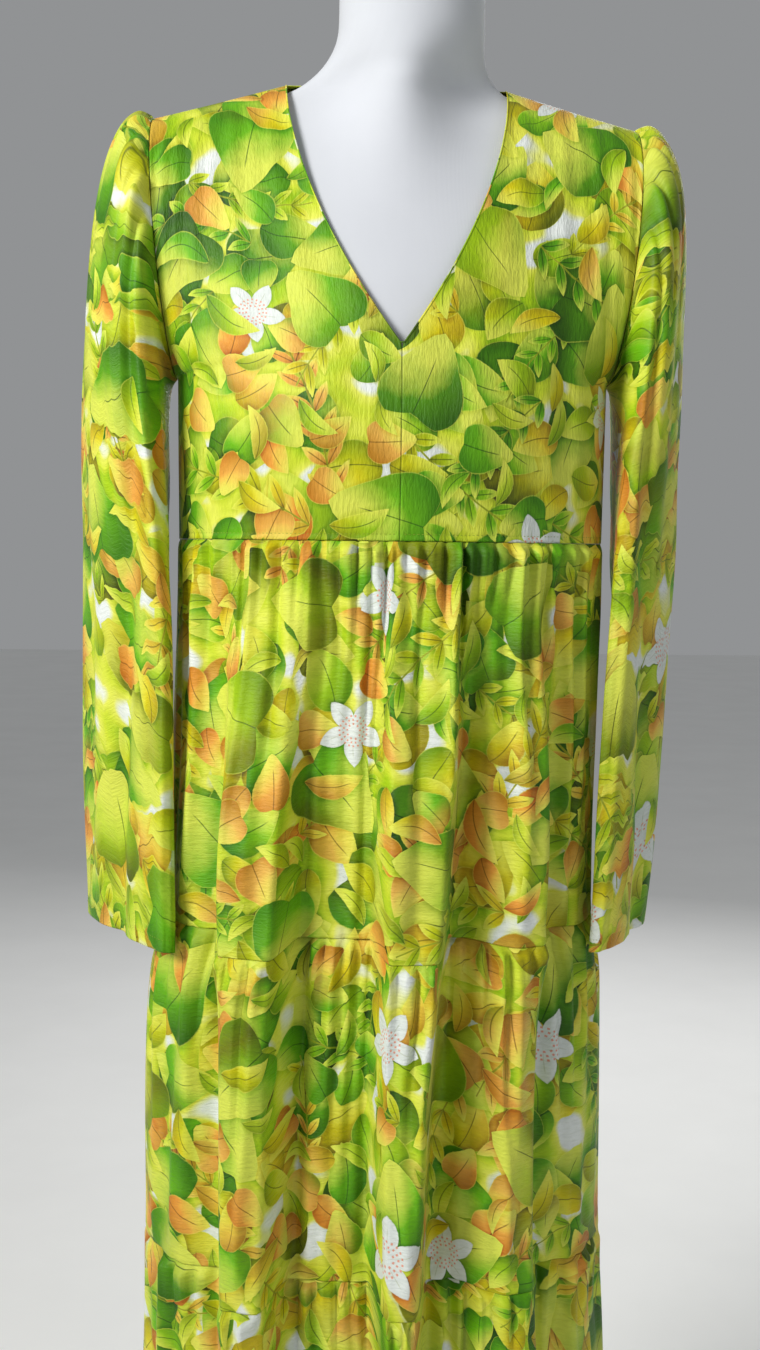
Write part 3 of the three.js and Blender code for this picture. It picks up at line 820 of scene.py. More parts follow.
@dataclass(frozen=True)
class PrintedSilk:
    """Printed silk crepe: soft sheen, a fine streaky crinkle along or across the cloth, and painted shade
    in the crinkle's dips.
    """

    name: str
    streak_across: float
    streak_along: float
    offset: tuple[float, float, float]
    roughness: float = 0.5
    sheen: float = 0.07
    bump: tuple[float, float] = (0.85, 0.0016)

    def make(self) -> bpy.types.Material:
        """Build the material.

        Returns:
            The new material.
        """
        graph = NodeGraph(bpy.data.materials.new(self.name))
        cloth = graph.attribute(CLOTH_ATTRIBUTE)
        moved = graph.vector_math("ADD", cloth, self.offset)
        colour = LeafPrint(graph, moved).paint()
        streaks = graph.vector_math("MULTIPLY", moved, (self.streak_across, self.streak_along, 1.0))
        crinkle = graph.noise(streaks, 1.0, 3.0, 0.62)
        fine = graph.noise(moved, 1500.0, 1.0, 0.5)
        # Painted shade: the print's colour is darkened in the crinkle's dips, where shade would fall on the
        # crepe.
        dips = ((0.56 - crinkle) * 2.6).clamped()
        painted_dip_shade = graph.vector_math("MULTIPLY", colour, (0.72, 0.74, 0.66))
        colour = graph.mix(dips * 0.55, colour, painted_dip_shade)
        rough = (crinkle - 0.5) * 0.22 + self.roughness
        relief = crinkle * 0.85 + fine * 0.15
        return graph.finish(self.bump, relief, Base_Color=colour, Roughness=rough, IOR=1.33,
                            Sheen_Weight=self.sheen, Sheen_Roughness=0.42)


@dataclass(frozen=True)
class StretchJersey:
    """Plain white jersey stretched over the form: fine upright wales and a little unevenness."""

    name: str = "form_jersey"
    colour: Colour = srgb(208, 211, 217)
    wale: float = 900.0
    bump: tuple[float, float] = (0.3, 0.0003)

    def make(self) -> bpy.types.Material:
        """Build the material.

        Returns:
            The new material.
        """
        graph = NodeGraph(bpy.data.materials.new(self.name))
        place = graph.attribute(CLOTH_ATTRIBUTE)
        x, y = graph.parts(place)
        wales = (x * (self.wale * FULL_TURN)).math("SINE") * 0.5 + 0.5
        courses = (y * (self.wale * 1.3 * FULL_TURN)).math("SINE") * 0.5 + 0.5
        soft = graph.noise(place, 30.0, 2.0)
        fuzz = graph.noise(place, 700.0, 2.0)
        tone = ((soft - 0.5) * 0.5 + (fuzz - 0.5) * 0.3 + 0.3).clamped()
        darker = tuple(value * 0.93 for value in self.colour)
        colour = graph.mix(tone, self.colour, darker)
        relief = wales * 0.4 + courses * 0.3 + fuzz * 0.3
        return graph.finish(self.bump, relief, Base_Color=colour, Roughness=0.8,
                            Sheen_Weight=0.25, Sheen_Roughness=0.5)


@dataclass(frozen=True)
class PlainFinish:
    """A smooth hard finish with faint unevenness, for metal, enamel, thread and the floor."""

    name: str
    colour: Colour
    roughness: float
    metallic: float = 0.0
    grain_scale: float = 60.0
    grain_depth: float = 0.00005
    stretch: tuple[float, float, float] = (1.0, 1.0, 1.0)

    def make(self) -> bpy.types.Material:
        """Build the material.

        Returns:
            The new material.
        """
        graph = NodeGraph(bpy.data.materials.new(self.name))
        texture = graph.node("ShaderNodeTexCoord")
        place = Value(graph, texture.outputs["Object"])
        stretched = graph.vector_math("MULTIPLY", place, self.stretch)
        grain = graph.noise(stretched, self.grain_scale, 4.0, 0.6)
        darker = tuple(value * 0.9 for value in self.colour)
        colour = graph.mix(grain.clamped(), self.colour, darker)
        rough = (grain - 0.5) * 0.15 + self.roughness
        return graph.finish((0.4, self.grain_depth), grain, Base_Color=colour, Roughness=rough,
                            Metallic=self.metallic)


@dataclass(frozen=True)
class ClothGrid:
    """Points of a piece of cloth in rows and columns, with their places on the flat cloth."""

    points: Array
    flat: Array

    @property
    def area(self) -> float:
        """Measure the cloth's surface.

        Returns:
            Its area in square metres.
        """
        along = self.points[1:, :-1] - self.points[:-1, :-1]
        across = self.points[:-1, 1:] - self.points[:-1, :-1]
        return float(np.linalg.norm(np.cross(along, across), axis=2).sum())


def walked(points: Array, axis: int, counted: Sequence[float] = (1.0, 1.0, 1.0)) -> Array:
    """Distance walked along rows or columns of points.

    Args:
        points: Grid of points.
        axis: 0 to walk down the rows, 1 to walk across the columns.
        counted: How much of the way along X, Y and Z counts.

    Returns:
        The distance from the first point to each.
    """
    lengths = np.linalg.norm(np.diff(points * np.array(counted), axis=axis), axis=2)
    start = np.zeros_like(np.take(lengths, [0], axis=axis))
    return np.concatenate([start, np.cumsum(lengths, axis=axis)], axis=axis)


LEVEL = (1.0, 1.0, 0.0)
UPRIGHT = (0.0, 1.0, 1.0)


def even_shares(surface: Surface, at: float, count: int) -> Array:
    """Shares across a surface that space its columns evenly along one row.

    Args:
        surface: The cloth's surface.
        at: The row's place down the surface.
        count: How many columns there are.

    Returns:
        The shares, 0 to 1.
    """
    dense = np.linspace(0.0, 1.0, count * 6)
    row = surface(dense, np.full_like(dense, at))[None]
    distance = walked(row, 1)[0]
    return np.interp(np.linspace(0.0, distance[-1], count), distance, dense)


def graded_rows(length: float, fine: float, coarse: float, reach: float) -> Array:
    """Shares down a length with close rows near both of its ends.

    Args:
        length: The length in metres.
        fine: Row spacing at the ends.
        coarse: Row spacing in the middle.
        reach: How far from the ends the spacing widens.

    Returns:
        The shares, 0 to 1.
    """
    place = 0.0
    places = [place]
    while place < length:
        room = min(place, length - place) / reach
        place += float(lerp(fine, coarse, smooth(np.array(room))))
        places.append(place)
    return np.array(places) / places[-1]


@dataclass(frozen=True)
class PieceMaker:
    """Turns grids into finished pieces of the dress."""

    made: dict[str, bpy.types.Object] = field(default_factory=dict)

    def add(self, name: str, mesh: bpy.types.Mesh, material: bpy.types.Material,
            slot: str) -> bpy.types.Object:
        """Put a mesh into the scene as one piece.

        Args:
            name: The piece's name.
            mesh: Its mesh.
            material: Its finish.
            slot: Not used.

        Returns:
            The new object.
        """
        piece = bpy.data.objects.new(name, mesh)
        bpy.context.scene.collection.objects.link(piece)
        mesh.materials.append(material)
        mesh.polygons.foreach_set("use_smooth", [True] * len(mesh.polygons))
        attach(piece, BODY)
        self.made[name] = piece
        log.info("%s: %d faces", name, len(mesh.polygons))
        return piece

    def cloth(self, node: str, grid: ClothGrid, material: bpy.types.Material, slot: str,
              axis: Array) -> None:
        """Make a thin piece of cloth that stands for one solid.

        Args:
            node: The solid that it replaces.
            grid: Its points and flat places.
            material: Its finish.
            slot: The material slot it belongs to.
            axis: A point inside the cloth for each row, so that its faces can point out.
        """
        rows, columns = grid.points.shape[:2]
        index = np.arange(rows * columns).reshape(rows, columns)
        quads = np.stack([index[:-1, :-1], index[:-1, 1:], index[1:, 1:], index[1:, :-1]], axis=-1)
        across = grid.points[:-1, 1:] - grid.points[:-1, :-1]
        along = grid.points[1:, :-1] - grid.points[:-1, :-1]
        outward = grid.points[:-1, :-1] - axis[:-1, None]
        facing = (np.cross(across, along) * outward).sum()
        if facing < 0:
            quads = quads[..., ::-1]
        name = f"{node}_silk"
        places = np.concatenate([grid.flat.reshape(-1, 2), np.zeros((rows * columns, 1))], axis=1)
        mesh = make_mesh(name, grid.points, quads.reshape(-1, 4).tolist(), places)
        piece = self.add(name, mesh, material, slot)
        thicken = piece.modifiers.new("thickness", "SOLIDIFY")
        thicken.thickness = SIZES.silk_thickness
        thicken.offset = -1.0
        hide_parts(node)


def sheet_normals(surface: Surface, across: Array, down: Array) -> Array:
    """Unit normals of a surface.

    Args:
        surface: The cloth's surface.
        across: Shares across.
        down: Shares down.

    Returns:
        The normals, not yet turned outwards.
    """
    step = 1e-3
    side = surface(across + step, down) - surface(across - step, down)
    fall = surface(across, down + step) - surface(across, down - step)
    return unit(np.cross(side, fall))


SKIRT_GATHERS = 28
BACK_CUT_AT = 2.63


@dataclass(frozen=True)
class SkirtTier:
    """One gathered tier panel, front or back."""

    tier: int
    face: Face
    columns: int = 250
    gather_height: float = 0.0052
    gather_length: float = 0.095
    seam_height: float = 0.0013
    seam_dip: float = 0.0009
    dip_reach: float = 0.0022
    hem_stitch: float = 0.010
    packing: float = 0.22
    valley_depth: float = 0.005
    start_reach: float = 0.009
    fine_rise: float = 0.0016
    puff_rise: float = 0.0018
    pulled_rise: float = 0.0009
    stitch_dip: float = 0.0007
    hem_rise: float = 0.0004

    @property
    def name(self) -> str:
        """Return the piece's name, which is also its solid's."""
        return f"tier_{self.tier}_{self.face.name.lower()}"

    @property
    def top_z(self) -> float:
        """Return the height of the seam above the panel."""
        return SIZES.tier_seams_z[self.tier - 1] - SIZES.seam_gap / 2

    @property
    def is_last(self) -> bool:
        """Return whether the panel ends in the hem."""
        return self.tier == len(SIZES.tier_seams_z)

    @property
    def low_z(self) -> float:
        """Return the height of the panel's lower edge."""
        return SIZES.hem_z if self.is_last else SIZES.tier_seams_z[self.tier] + SIZES.seam_gap / 2

    def angles(self, share: Array) -> Array:
        """Angle round the skirt for each share of the seam.

        Args:
            share: Shares along the seam, 0 to 1.

        Returns:
            The angles, from the left side seam to the right one.
        """
        reach = SIZES.empire_front if self.face is Face.FRONT else SIZES.empire_back
        angles = (np.linspace(0.0, 1.0, SEAM_SAMPLES) - 0.5) * math.pi
        ring = np.stack([SIZES.empire_half * np.sin(angles), reach * np.cos(angles)], axis=1)
        distance = np.concatenate([[0.0], np.cumsum(np.linalg.norm(np.diff(ring, axis=0), axis=1))])
        wobble = ripple(share, (0.005, 5.0, 1.7), (0.003, 13.0, 3.4))
        even = share + wobble * np.sin(share * math.pi)
        inside = np.interp(even, distance / distance[-1], angles)
        return inside + (even - np.clip(even, 0.0, 1.0)) * math.pi

    def gathers(self, share: Array, below: Array, above: Array) -> Array:
        """Height of the gathers and soft ripples.

        Args:
            share: Shares along the seam.
            below: Distance below the panel's top seam.
            above: Distance above its lower edge.

        Returns:
            How far the cloth stands out.
        """
        shift = 2.3 * self.tier + (0.0 if self.face is Face.FRONT else 1.1)
        packed = share - self.packing * np.sin(share * FULL_TURN) / FULL_TURN
        phase = packed * SKIRT_GATHERS * FULL_TURN
        uneven = 1.0 + ripple(share, (0.30, 5.3, 0.4), (0.24, 11.7, 2.0))
        own = 1.0 + ripple(share, (0.34, 6.7, shift), (0.30, 15.9, shift * 2))
        length = self.gather_length * (1.0 + ripple(share, (0.42, 8.1, shift), (0.34, 17.3, 0.2)))
        crest = np.abs(np.cos(phase / 2)) ** 0.7 * 2 - 1
        at_seam = self.seam_height * crest * uneven
        start = smooth(below / self.start_reach)
        fading = np.exp(-below / length)
        rounded = lerp(crest, np.cos(phase + 1.3 * np.sin(below * 22 + share * 9)), smooth(below / 0.09))
        gathered = self.gather_height * start * fading * own * rounded
        fine = self.fine_rise * start * np.exp(-below / (length * 0.4)) * np.cos(phase * 2.37 + shift)
        puff = self.puff_rise * start * np.exp(-below / 0.08)
        drift = share + 0.012 * np.sin(below * 11 + shift)
        soft = ripple(drift, (0.0026, 8.3, shift), (0.0020, 13.1, shift + 2), (0.0008, 25.7, 1.0))
        soft = soft * smooth(below / 0.07)
        held = 1.0 if self.is_last else smooth(above / 0.03)
        pulled = 0.0 if self.is_last else self.pulled_rise * np.exp(-above / 0.012) * crest * uneven
        seam = at_seam * np.exp(-below / 0.02) * (1 - start * 0.5)
        return seam + (gathered + fine + puff + soft) * held + pulled

    def edges(self, below: Array, above: Array) -> Array:
        """Dip of the cloth into its seams and at the hem stitching.

        Args:
            below: Distance below the top seam.
            above: Distance above the lower edge.

        Returns:
            How far the cloth dips in, below zero.
        """
        dip = -self.seam_dip * bump_at(below, 0.0, self.dip_reach)
        if self.is_last:
            stitched = -self.stitch_dip * bump_at(above, self.hem_stitch, 0.0014)
            folded = self.hem_rise * smooth((self.hem_stitch - above) / 0.002)
            return dip + stitched + folded
        return dip - self.seam_dip * 0.6 * bump_at(above, 0.0, self.dip_reach)

    def surface(self, share: Array, down: Array) -> Array:
        """Points of the panel's outer surface.

        Args:
            share: Shares along the seam.
            down: Shares down the panel.

        Returns:
            The points.
        """
        z = lerp(self.top_z, self.low_z, down)
        half = SKIRT.at("half", z)
        reach = SKIRT.at(self.face.name.lower(), z)
        angle = self.angles(share)
        x = half * np.sin(angle)
        y = self.face.value * reach * np.cos(angle)
        out_x, out_y = x / half**2, y / reach**2
        size = np.hypot(out_x, out_y)
        rise = sum(fold.rise_at(x, z) for fold in SKIRT_FOLDS[self.face])
        at_sides = 0.12 + 0.88 * smooth(np.cos(angle) * 1.7)
        below, above = self.top_z - z, z - self.low_z
        valleys = sum(fold.valley_at(x, z) for fold in SKIRT_FOLDS[self.face])
        out = self.gathers(share, below, above) * at_sides + self.edges(below, above) + rise
        held = 1.0 if self.is_last else smooth(above / 0.02)
        out = out - self.valley_depth * valleys * held
        sway = SKIRT.at("sway", z)
        wave = 0.0
        if self.is_last:
            wave = ripple(share, (0.0016, 7.3, 0.5)) * smooth((0.05 - above) / 0.05)
        return np.stack(
            [x + sway + out_x / size * out, y + out_y / size * out, z - FOLD_SAG * rise + wave], axis=-1
        )

    def grid(self) -> ClothGrid:
        """Lay out the panel's points and flat places.

        Returns:
            The grid.
        """
        rows = graded_rows(self.top_z - self.low_z, 0.0012, 0.0062, 0.05)
        shares = even_shares(self.surface, 0.6, self.columns)
        across, down = np.meshgrid(shares, rows)
        points = self.surface(across, down)
        flat_x = walked(points, 1)[len(rows) // 3:].mean(axis=0)
        flat_x = np.broadcast_to(flat_x - flat_x[-1] / 2, across.shape)
        flat_y = walked(points, 0).mean(axis=1, keepdims=True) + FLAT_TOP_Z - self.top_z
        flat_y = np.broadcast_to(flat_y, across.shape)
        if self.face is Face.BACK:
            flat_x = BACK_CUT_AT - flat_x
        return ClothGrid(points, np.stack([flat_x, flat_y], axis=-1))

    def build(self, maker: PieceMaker, material: bpy.types.Material) -> ClothGrid:
        """Make the panel.

        Args:
            maker: Adds the piece to the scene.
            material: Its finish.

        Returns:
            The panel's grid.
        """
        grid = self.grid()
        axis = grid.points.mean(axis=1) * np.array([0.0, 0.0, 1.0])
        maker.cloth(self.name, grid, material, "skirt_cloth", axis)
        return grid


UNDERARM_SHARE = 0.38
EMPIRE_STITCH = 0.005


@dataclass(frozen=True)
class BodiceHalf:
    """One half of the bodice: a front panel, or the left or right of the back."""

    side: Side
    face: Face
    soft_fold: float = 0.003
    columns: int = 64
    seam_dip: float = 0.0004
    dip_reach: float = 0.0018
    edge: float = 0.0004
    stitch_dip: float = 0.0006
    bust_rise: float = 0.007
    bust_at: tuple[float, float] = (0.080, 1.205)
    bust_spread: float = 0.048
    fold_at: float = 0.150
    fold_spread: float = 0.013

    def outer(self, low: Array, up: Array) -> Array:
        """Side seam and armhole.

        Args:
            low: Share up the side seam.
            up: Share up the armhole, below zero under it.

        Returns:
            The points of the outer edge.
        """
        angle = np.clip(up, 0.0, 1.1) * math.pi
        climb = (1 - np.cos(angle)) / 2
        x = np.where(up <= 0, lerp(SIZES.empire_half, SIZES.underarm_half, low),
                     lerp(SIZES.underarm_half, SIZES.shoulder_half, climb)
                     + SIZES.armhole_bow * np.sin(angle))
        y = np.where(up <= 0, 0.0, self.face.value * SIZES.armhole_depth * np.sin(angle))
        z = np.where(up <= 0, lerp(SIZES.empire_z, SIZES.underarm_z, low),
                     lerp(SIZES.underarm_z, SIZES.shoulder_tip_z, climb))
        return np.stack([x, y, z], axis=-1)

    def inner(self, climb: Array, low: Array, up: Array) -> Array:
        """Centre line and neckline.

        Args:
            climb: Share up the whole panel.
            low: Share up the side seam.
            up: Share up the armhole.

        Returns:
            The points of the inner edge.
        """
        if self.face is Face.FRONT:
            z_low = lerp(SIZES.empire_z, SIZES.v_point_z, low)
            left = 1 - up
            x = np.where(up <= 0, 0.0, SIZES.neck_half * (1 - np.abs(left) ** 2.6))
            y = np.where(up <= 0, -BODICE_CENTRE.at("front", z_low),
                         SIZES.shoulder_y - (SIZES.v_depth + SIZES.shoulder_y) * left)
            drop = (SIZES.neck_point_z - SIZES.v_point_z) * np.abs(left) ** 1.5
            z = np.where(up <= 0, z_low, SIZES.neck_point_z - drop)
            return np.stack([x, y, z], axis=-1)
        neck_share = 0.8
        z_low = lerp(SIZES.empire_z, SIZES.back_neck_z, climb / neck_share)
        angle = (climb - neck_share) / (1 - neck_share) * math.pi / 2
        on_neck = climb > neck_share
        x = np.where(on_neck, SIZES.neck_half * np.sin(angle), 0.0)
        y = np.where(on_neck, lerp(SIZES.shoulder_y, SIZES.back_neck_depth, np.cos(angle)),
                     BODICE_CENTRE.at("back", np.minimum(z_low, SIZES.back_neck_z)))
        z = np.where(on_neck, lerp(SIZES.neck_point_z, SIZES.back_neck_z, np.cos(angle) ** 2), z_low)
        return np.stack([x, y, z], axis=-1)

    def drape(self, p: Array, across: Array, climb: Array) -> Array:
        """Soft swell, folds and seam dips of the cloth.

        Args:
            p: Points of the plain panel.
            across: Shares from the inner edge to the outer one.
            climb: Shares up the panel.

        Returns:
            How far the cloth stands out, in metres.
        """
        x, z = p[..., 0], p[..., 2]
        height = z - SIZES.empire_z
        settle = smooth(height / 0.07)
        bust = 0.0
        if self.face is Face.FRONT:
            bust_x, bust_z = self.bust_at
            bust = (self.bust_rise * bump_at(x, bust_x, self.bust_spread)
                    * bump_at(z, bust_z, self.bust_spread))
        fold = self.soft_fold * bump_at(x, self.fold_at, self.fold_spread) * smooth((1.330 - z) / 0.120)
        lines = ripple(across + 0.15 * climb, (0.0006, 4.3, 0.7), (0.0005, 7.9, 2.0))
        hung = lines * settle * smooth((1 - climb) / 0.2)
        eased = 0.0008 * np.cos(across * 26 * math.pi) * np.exp(-height / 0.02) * smooth(height / 0.004)
        waist = -self.seam_dip * bump_at(height, 0.0, self.dip_reach)
        stitched = -self.stitch_dip * bump_at(height, EMPIRE_STITCH, 0.0010)
        side = -self.seam_dip * bump_at((1 - across) * 0.2, 0.0, self.dip_reach)
        return (bust + fold) * settle + hung + eased + waist + stitched + side

    def surface(self, across: Array, climb: Array) -> Array:
        """Points of the panel's outer surface.

        Args:
            across: Shares from the inner edge to the outer one.
            climb: Shares up the panel.

        Returns:
            The points.
        """
        low = climb / UNDERARM_SHARE
        up = (climb - UNDERARM_SHARE) / (1 - UNDERARM_SHARE)
        inner, outer = self.inner(climb, low, up), self.outer(low, up)
        turn = lerp(math.pi / 2, math.pi / 4.5, smooth(up))
        widen = np.sin(turn * across) / np.sin(turn)
        recede = (np.cos(turn * across) - np.cos(turn)) / (1 - np.cos(turn))
        p = np.stack([
            lerp(inner[..., 0], outer[..., 0], widen),
            lerp(outer[..., 1], inner[..., 1], recede),
            lerp(inner[..., 2], outer[..., 2], widen),
        ], axis=-1)
        p[..., 1] += self.face.value * self.drape(p, across, climb)
        p[..., 0] *= self.side.value
        return p

    def grid(self, start: float = 0.0) -> ClothGrid:
        """Lay out the panel's points and flat places.

        Args:
            start: Share across at which the panel starts.

        Returns:
            The grid.
        """
        rows = graded_rows(0.46, 0.0016, 0.0052, 0.03) * (1 - self.edge * 2) + self.edge
        shares = lerp(start, 1 - self.edge * 1.2, graded_rows(0.22, 0.0012, 0.0042, 0.02))
        across, climb = np.meshgrid(shares, rows)
        points = self.surface(across, climb)
        flat_x = self.side.value * (walked(points, 1, LEVEL) + np.abs(points[:, :1, 0]))
        flat_y = FLAT_TOP_Z - points[:1, :, 2] - walked(points, 0, UPRIGHT)
        return ClothGrid(points, np.stack([flat_x, flat_y], axis=-1))


@dataclass(frozen=True)
class Bodice:
    """The three panels of the bodice."""

    left_fold: float = 0.003
    right_fold: float = 0.006
    back_fold: float = 0.002

    def fronts(self) -> dict[str, BodiceHalf]:
        """Return the two front panels by name."""
        return {
            "bodice_front_left": BodiceHalf(Side.LEFT, Face.FRONT, self.left_fold),
            "bodice_front_right": BodiceHalf(Side.RIGHT, Face.FRONT, self.right_fold),
        }

    def backs(self) -> list[BodiceHalf]:
        """Return the left and right halves of the back."""
        return [BodiceHalf(side, Face.BACK, self.back_fold) for side in Side]

    def build(self, maker: PieceMaker, material: bpy.types.Material) -> dict[str, ClothGrid]:
        """Make the panels.

        Args:
            maker: Adds the pieces to the scene.
            material: Their finish.

        Returns:
            The grids by name.
        """
        grids = {name: half.grid(half.edge) for name, half in self.fronts().items()}
        left, right = (half.grid() for half in self.backs())
        points = np.concatenate([left.points[:, ::-1], right.points[:, 1:]], axis=1)
        flat = np.concatenate([left.flat[:, ::-1], right.flat[:, 1:]], axis=1)
        flat = flat * np.array([-1.0, 1.0]) + np.array([BACK_CUT_AT, 0.0])
        grids["bodice_back"] = ClothGrid(points, flat)
        for name, grid in grids.items():
            axis = grid.points.mean(axis=1) * np.array([0.5, 0.0, 1.0])
            maker.cloth(name, grid, material, "bodice_cloth", axis)
        return grids


SLEEVE = Table(
    ("at", "out_x", "out_z", "in_x", "in_z", "deep", "lean", "press", "gather",
     "crease", "crease_at", "left", "right"),
    (
        (0.0, 0.1994, 1.451, 0.1804, 1.240, 0.048, 0.0, 0.0, 0.0007, 0.0, 80.0, 0.0, 0.0),
        (0.1, 0.213, 1.452, 0.1845, 1.234, 0.054, 0.001, 0.0, 0.0026, 0.0, 80.0, 0.0, 0.0),
        (0.2, 0.228, 1.438, 0.1865, 1.223, 0.059, 0.003, 0.0, 0.0026, 0.0, 80.0, 0.0, 0.0),
        (0.3, 0.241, 1.406, 0.187, 1.207, 0.063, 0.006, 0.001, 0.0018, 0.002, 80.0, 0.0, 0.0),
        (0.4, 0.248, 1.352, 0.187, 1.184, 0.066, 0.009, 0.002, 0.0008, 0.006, 80.0, 0.003, -0.002),
        (0.5, 0.252, 1.270, 0.187, 1.150, 0.067, 0.013, 0.003, 0.0, 0.009, 79.0, 0.006, -0.006),
        (0.6, 0.251, 1.170, 0.188, 1.098, 0.066, 0.020, 0.005, 0.0, 0.010, 68.0, 0.007, -0.006),
        (0.7, 0.248, 1.050, 0.192, 1.018, 0.065, 0.028, 0.008, 0.0, 0.011, 42.0, 0.002, -0.005),
        (0.8, 0.245, 0.930, 0.193, 0.924, 0.066, 0.031, 0.010, 0.0, 0.011, 28.0, 0.0, -0.005),
        (0.9, 0.243, 0.848, 0.193, 0.842, 0.069, 0.032, 0.011, 0.0, 0.011, 16.0, -0.003, -0.005),
        (1.0, 0.241, 0.773, 0.193, 0.767, 0.074, 0.033, 0.012, 0.0, 0.010, 8.0, -0.006, -0.007),
    ),
)


@dataclass(frozen=True)
class BellSleeve:
    """One long sleeve, gathered over its head and open in a bell at the hem."""

    side: Side
    lean_front: float
    lean_back: float
    columns: int = 170
    head_gathers: int = 16
    press_at: float = 155.0
    press_spread: float = 28.0
    crease_spread: float = 14.0
    seam_dip: float = 0.0007
    seam_reach: float = 0.0032
    stitch_dip: float = 0.0006
    hem_stitch: float = 0.009
    hem_puckers: int = 46
    pucker_rise: float = 0.0006
    gather_share: float = 1.35
    length: float = 0.66

    @property
    def name(self) -> str:
        """Return the piece's name, which is also its solid's."""
        return f"sleeve_{self.side.name.lower()}"

    def relief(self, turn: Array, at: Array, angle: Array) -> Array:
        """Height of the gathers, wrinkles and hem puckers.

        Args:
            turn: Place round the sleeve, in turns.
            at: Share down the sleeve.
            angle: The same place in radians.

        Returns:
            How far the cloth stands out.
        """
        shift = 0.8 * self.side.value + 1.5
        phase = turn * self.head_gathers * FULL_TURN
        on_head = smooth(np.cos(angle) * 1.6 + 0.5)
        own = 1.0 + ripple(turn, (0.35, 5.0, shift), (0.25, 11.0, 1.0))
        crest = np.abs(np.cos(phase / 2)) ** 0.75 * 2 - 1
        depth = SLEEVE.at("gather", at) * self.gather_share
        fine = 0.0018 * np.cos(phase * 2 + shift) * np.exp(-at / 0.12) * smooth(at / 0.02)
        head = (depth * crest * own + fine) * on_head
        lines = ripple(turn + 0.03 * np.sin(at * 7 + shift), (0.0013, 5.0, shift), (0.0009, 9.0, 0.5),
                       (0.0005, 17.0, 2.0))
        hung = lines * smooth((at - 0.2) / 0.3)
        slack = 0.0011 * np.sin(at * 46 + 3 * np.sin(angle + shift)) * bump_at(at, 0.63, 0.12)
        above = (1 - at) * self.length
        puckers = (self.pucker_rise * np.cos(turn * self.hem_puckers * FULL_TURN)
                   * bump_at(above, self.hem_stitch, 0.007))
        stitched = -self.stitch_dip * bump_at(above, self.hem_stitch, 0.0012)
        seam = -self.seam_dip * bump_at(at * self.length, 0.0, self.seam_reach)
        return head + hung + slack + puckers + stitched + seam

    def surface(self, turn: Array, at: Array) -> Array:
        """Points of the sleeve's outer surface.

        Args:
            turn: Place round the sleeve, in turns from the outer line.
            at: Share down the sleeve.

        Returns:
            The points.
        """
        angle = turn * FULL_TURN
        out_x = SLEEVE.at("out_x", at) + SLEEVE.at(self.side.name.lower(), at)
        out_z, in_x, in_z = (SLEEVE.at(column, at) for column in ("out_z", "in_x", "in_z"))
        arm_x, arm_z = (out_x - in_x) / 2, (out_z - in_z) / 2
        lean = SLEEVE.at("lean", at) * np.where(np.sin(angle) > 0, self.lean_front, self.lean_back)
        bow = SIZES.armhole_bow * np.maximum(0.0, 1 - at * 4) * np.abs(np.sin(angle))
        degrees = np.degrees(angle)

        def round_bump(centre: Array, spread: float) -> Array:
            """Return a soft bump round the ring."""
            return bump_at(np.mod(degrees - centre + 540.0, 360.0) - 180.0, 0.0, spread)

        press = SLEEVE.at("press", at) * round_bump(self.press_at, self.press_spread)
        x = (out_x + in_x) / 2 + arm_x * np.cos(angle) - lean * np.sin(angle) + bow + press
        y = -SLEEVE.at("deep", at) * np.sin(angle)
        z = (out_z + in_z) / 2 + arm_z * np.cos(angle)
        radial = unit(np.stack([arm_x * np.cos(angle), y, arm_z * np.cos(angle)], axis=-1))
        crease = SLEEVE.at("crease", at) * round_bump(SLEEVE.at("crease_at", at), self.crease_spread)
        out = self.relief(turn, at, angle) - crease
        p = np.stack([x, y, z], axis=-1) + radial * out[..., None]
        sway = SKIRT.at("sway", np.minimum(p[..., 2], SIZES.empire_z))
        p[..., 0] = p[..., 0] * self.side.value + sway
        return p

    def grid(self) -> ClothGrid:
        """Lay out the sleeve's points and flat places, opened at the underarm.

        Returns:
            The grid.
        """
        rows = graded_rows(self.length, 0.0014, 0.0058, 0.03)
        turns = even_shares(lambda u, v: self.surface(u - 0.5, v), 0.7, self.columns) - 0.5
        turn, at = np.meshgrid(turns, rows)
        points = self.surface(turn, at)
        across = walked(points, 1, LEVEL)
        middle = np.argmin(np.abs(turns))
        flat_x = across - across[:, middle:middle + 1] + self.side.value * 0.6
        flat_y = FLAT_TOP_Z - points[:1, :, 2] + walked(points, 0, (1.0, 0.0, 1.0))
        return ClothGrid(points, np.stack([flat_x, flat_y], axis=-1))

    def build(self, maker: PieceMaker, material: bpy.types.Material) -> ClothGrid:
        """Make the sleeve.

        Args:
            maker: Adds the piece to the scene.
            material: Its finish.

        Returns:
            The sleeve's grid.
        """
        grid = self.grid()
        maker.cloth(self.name, grid, material, "sleeve_cloth", grid.points.mean(axis=1))
        return grid


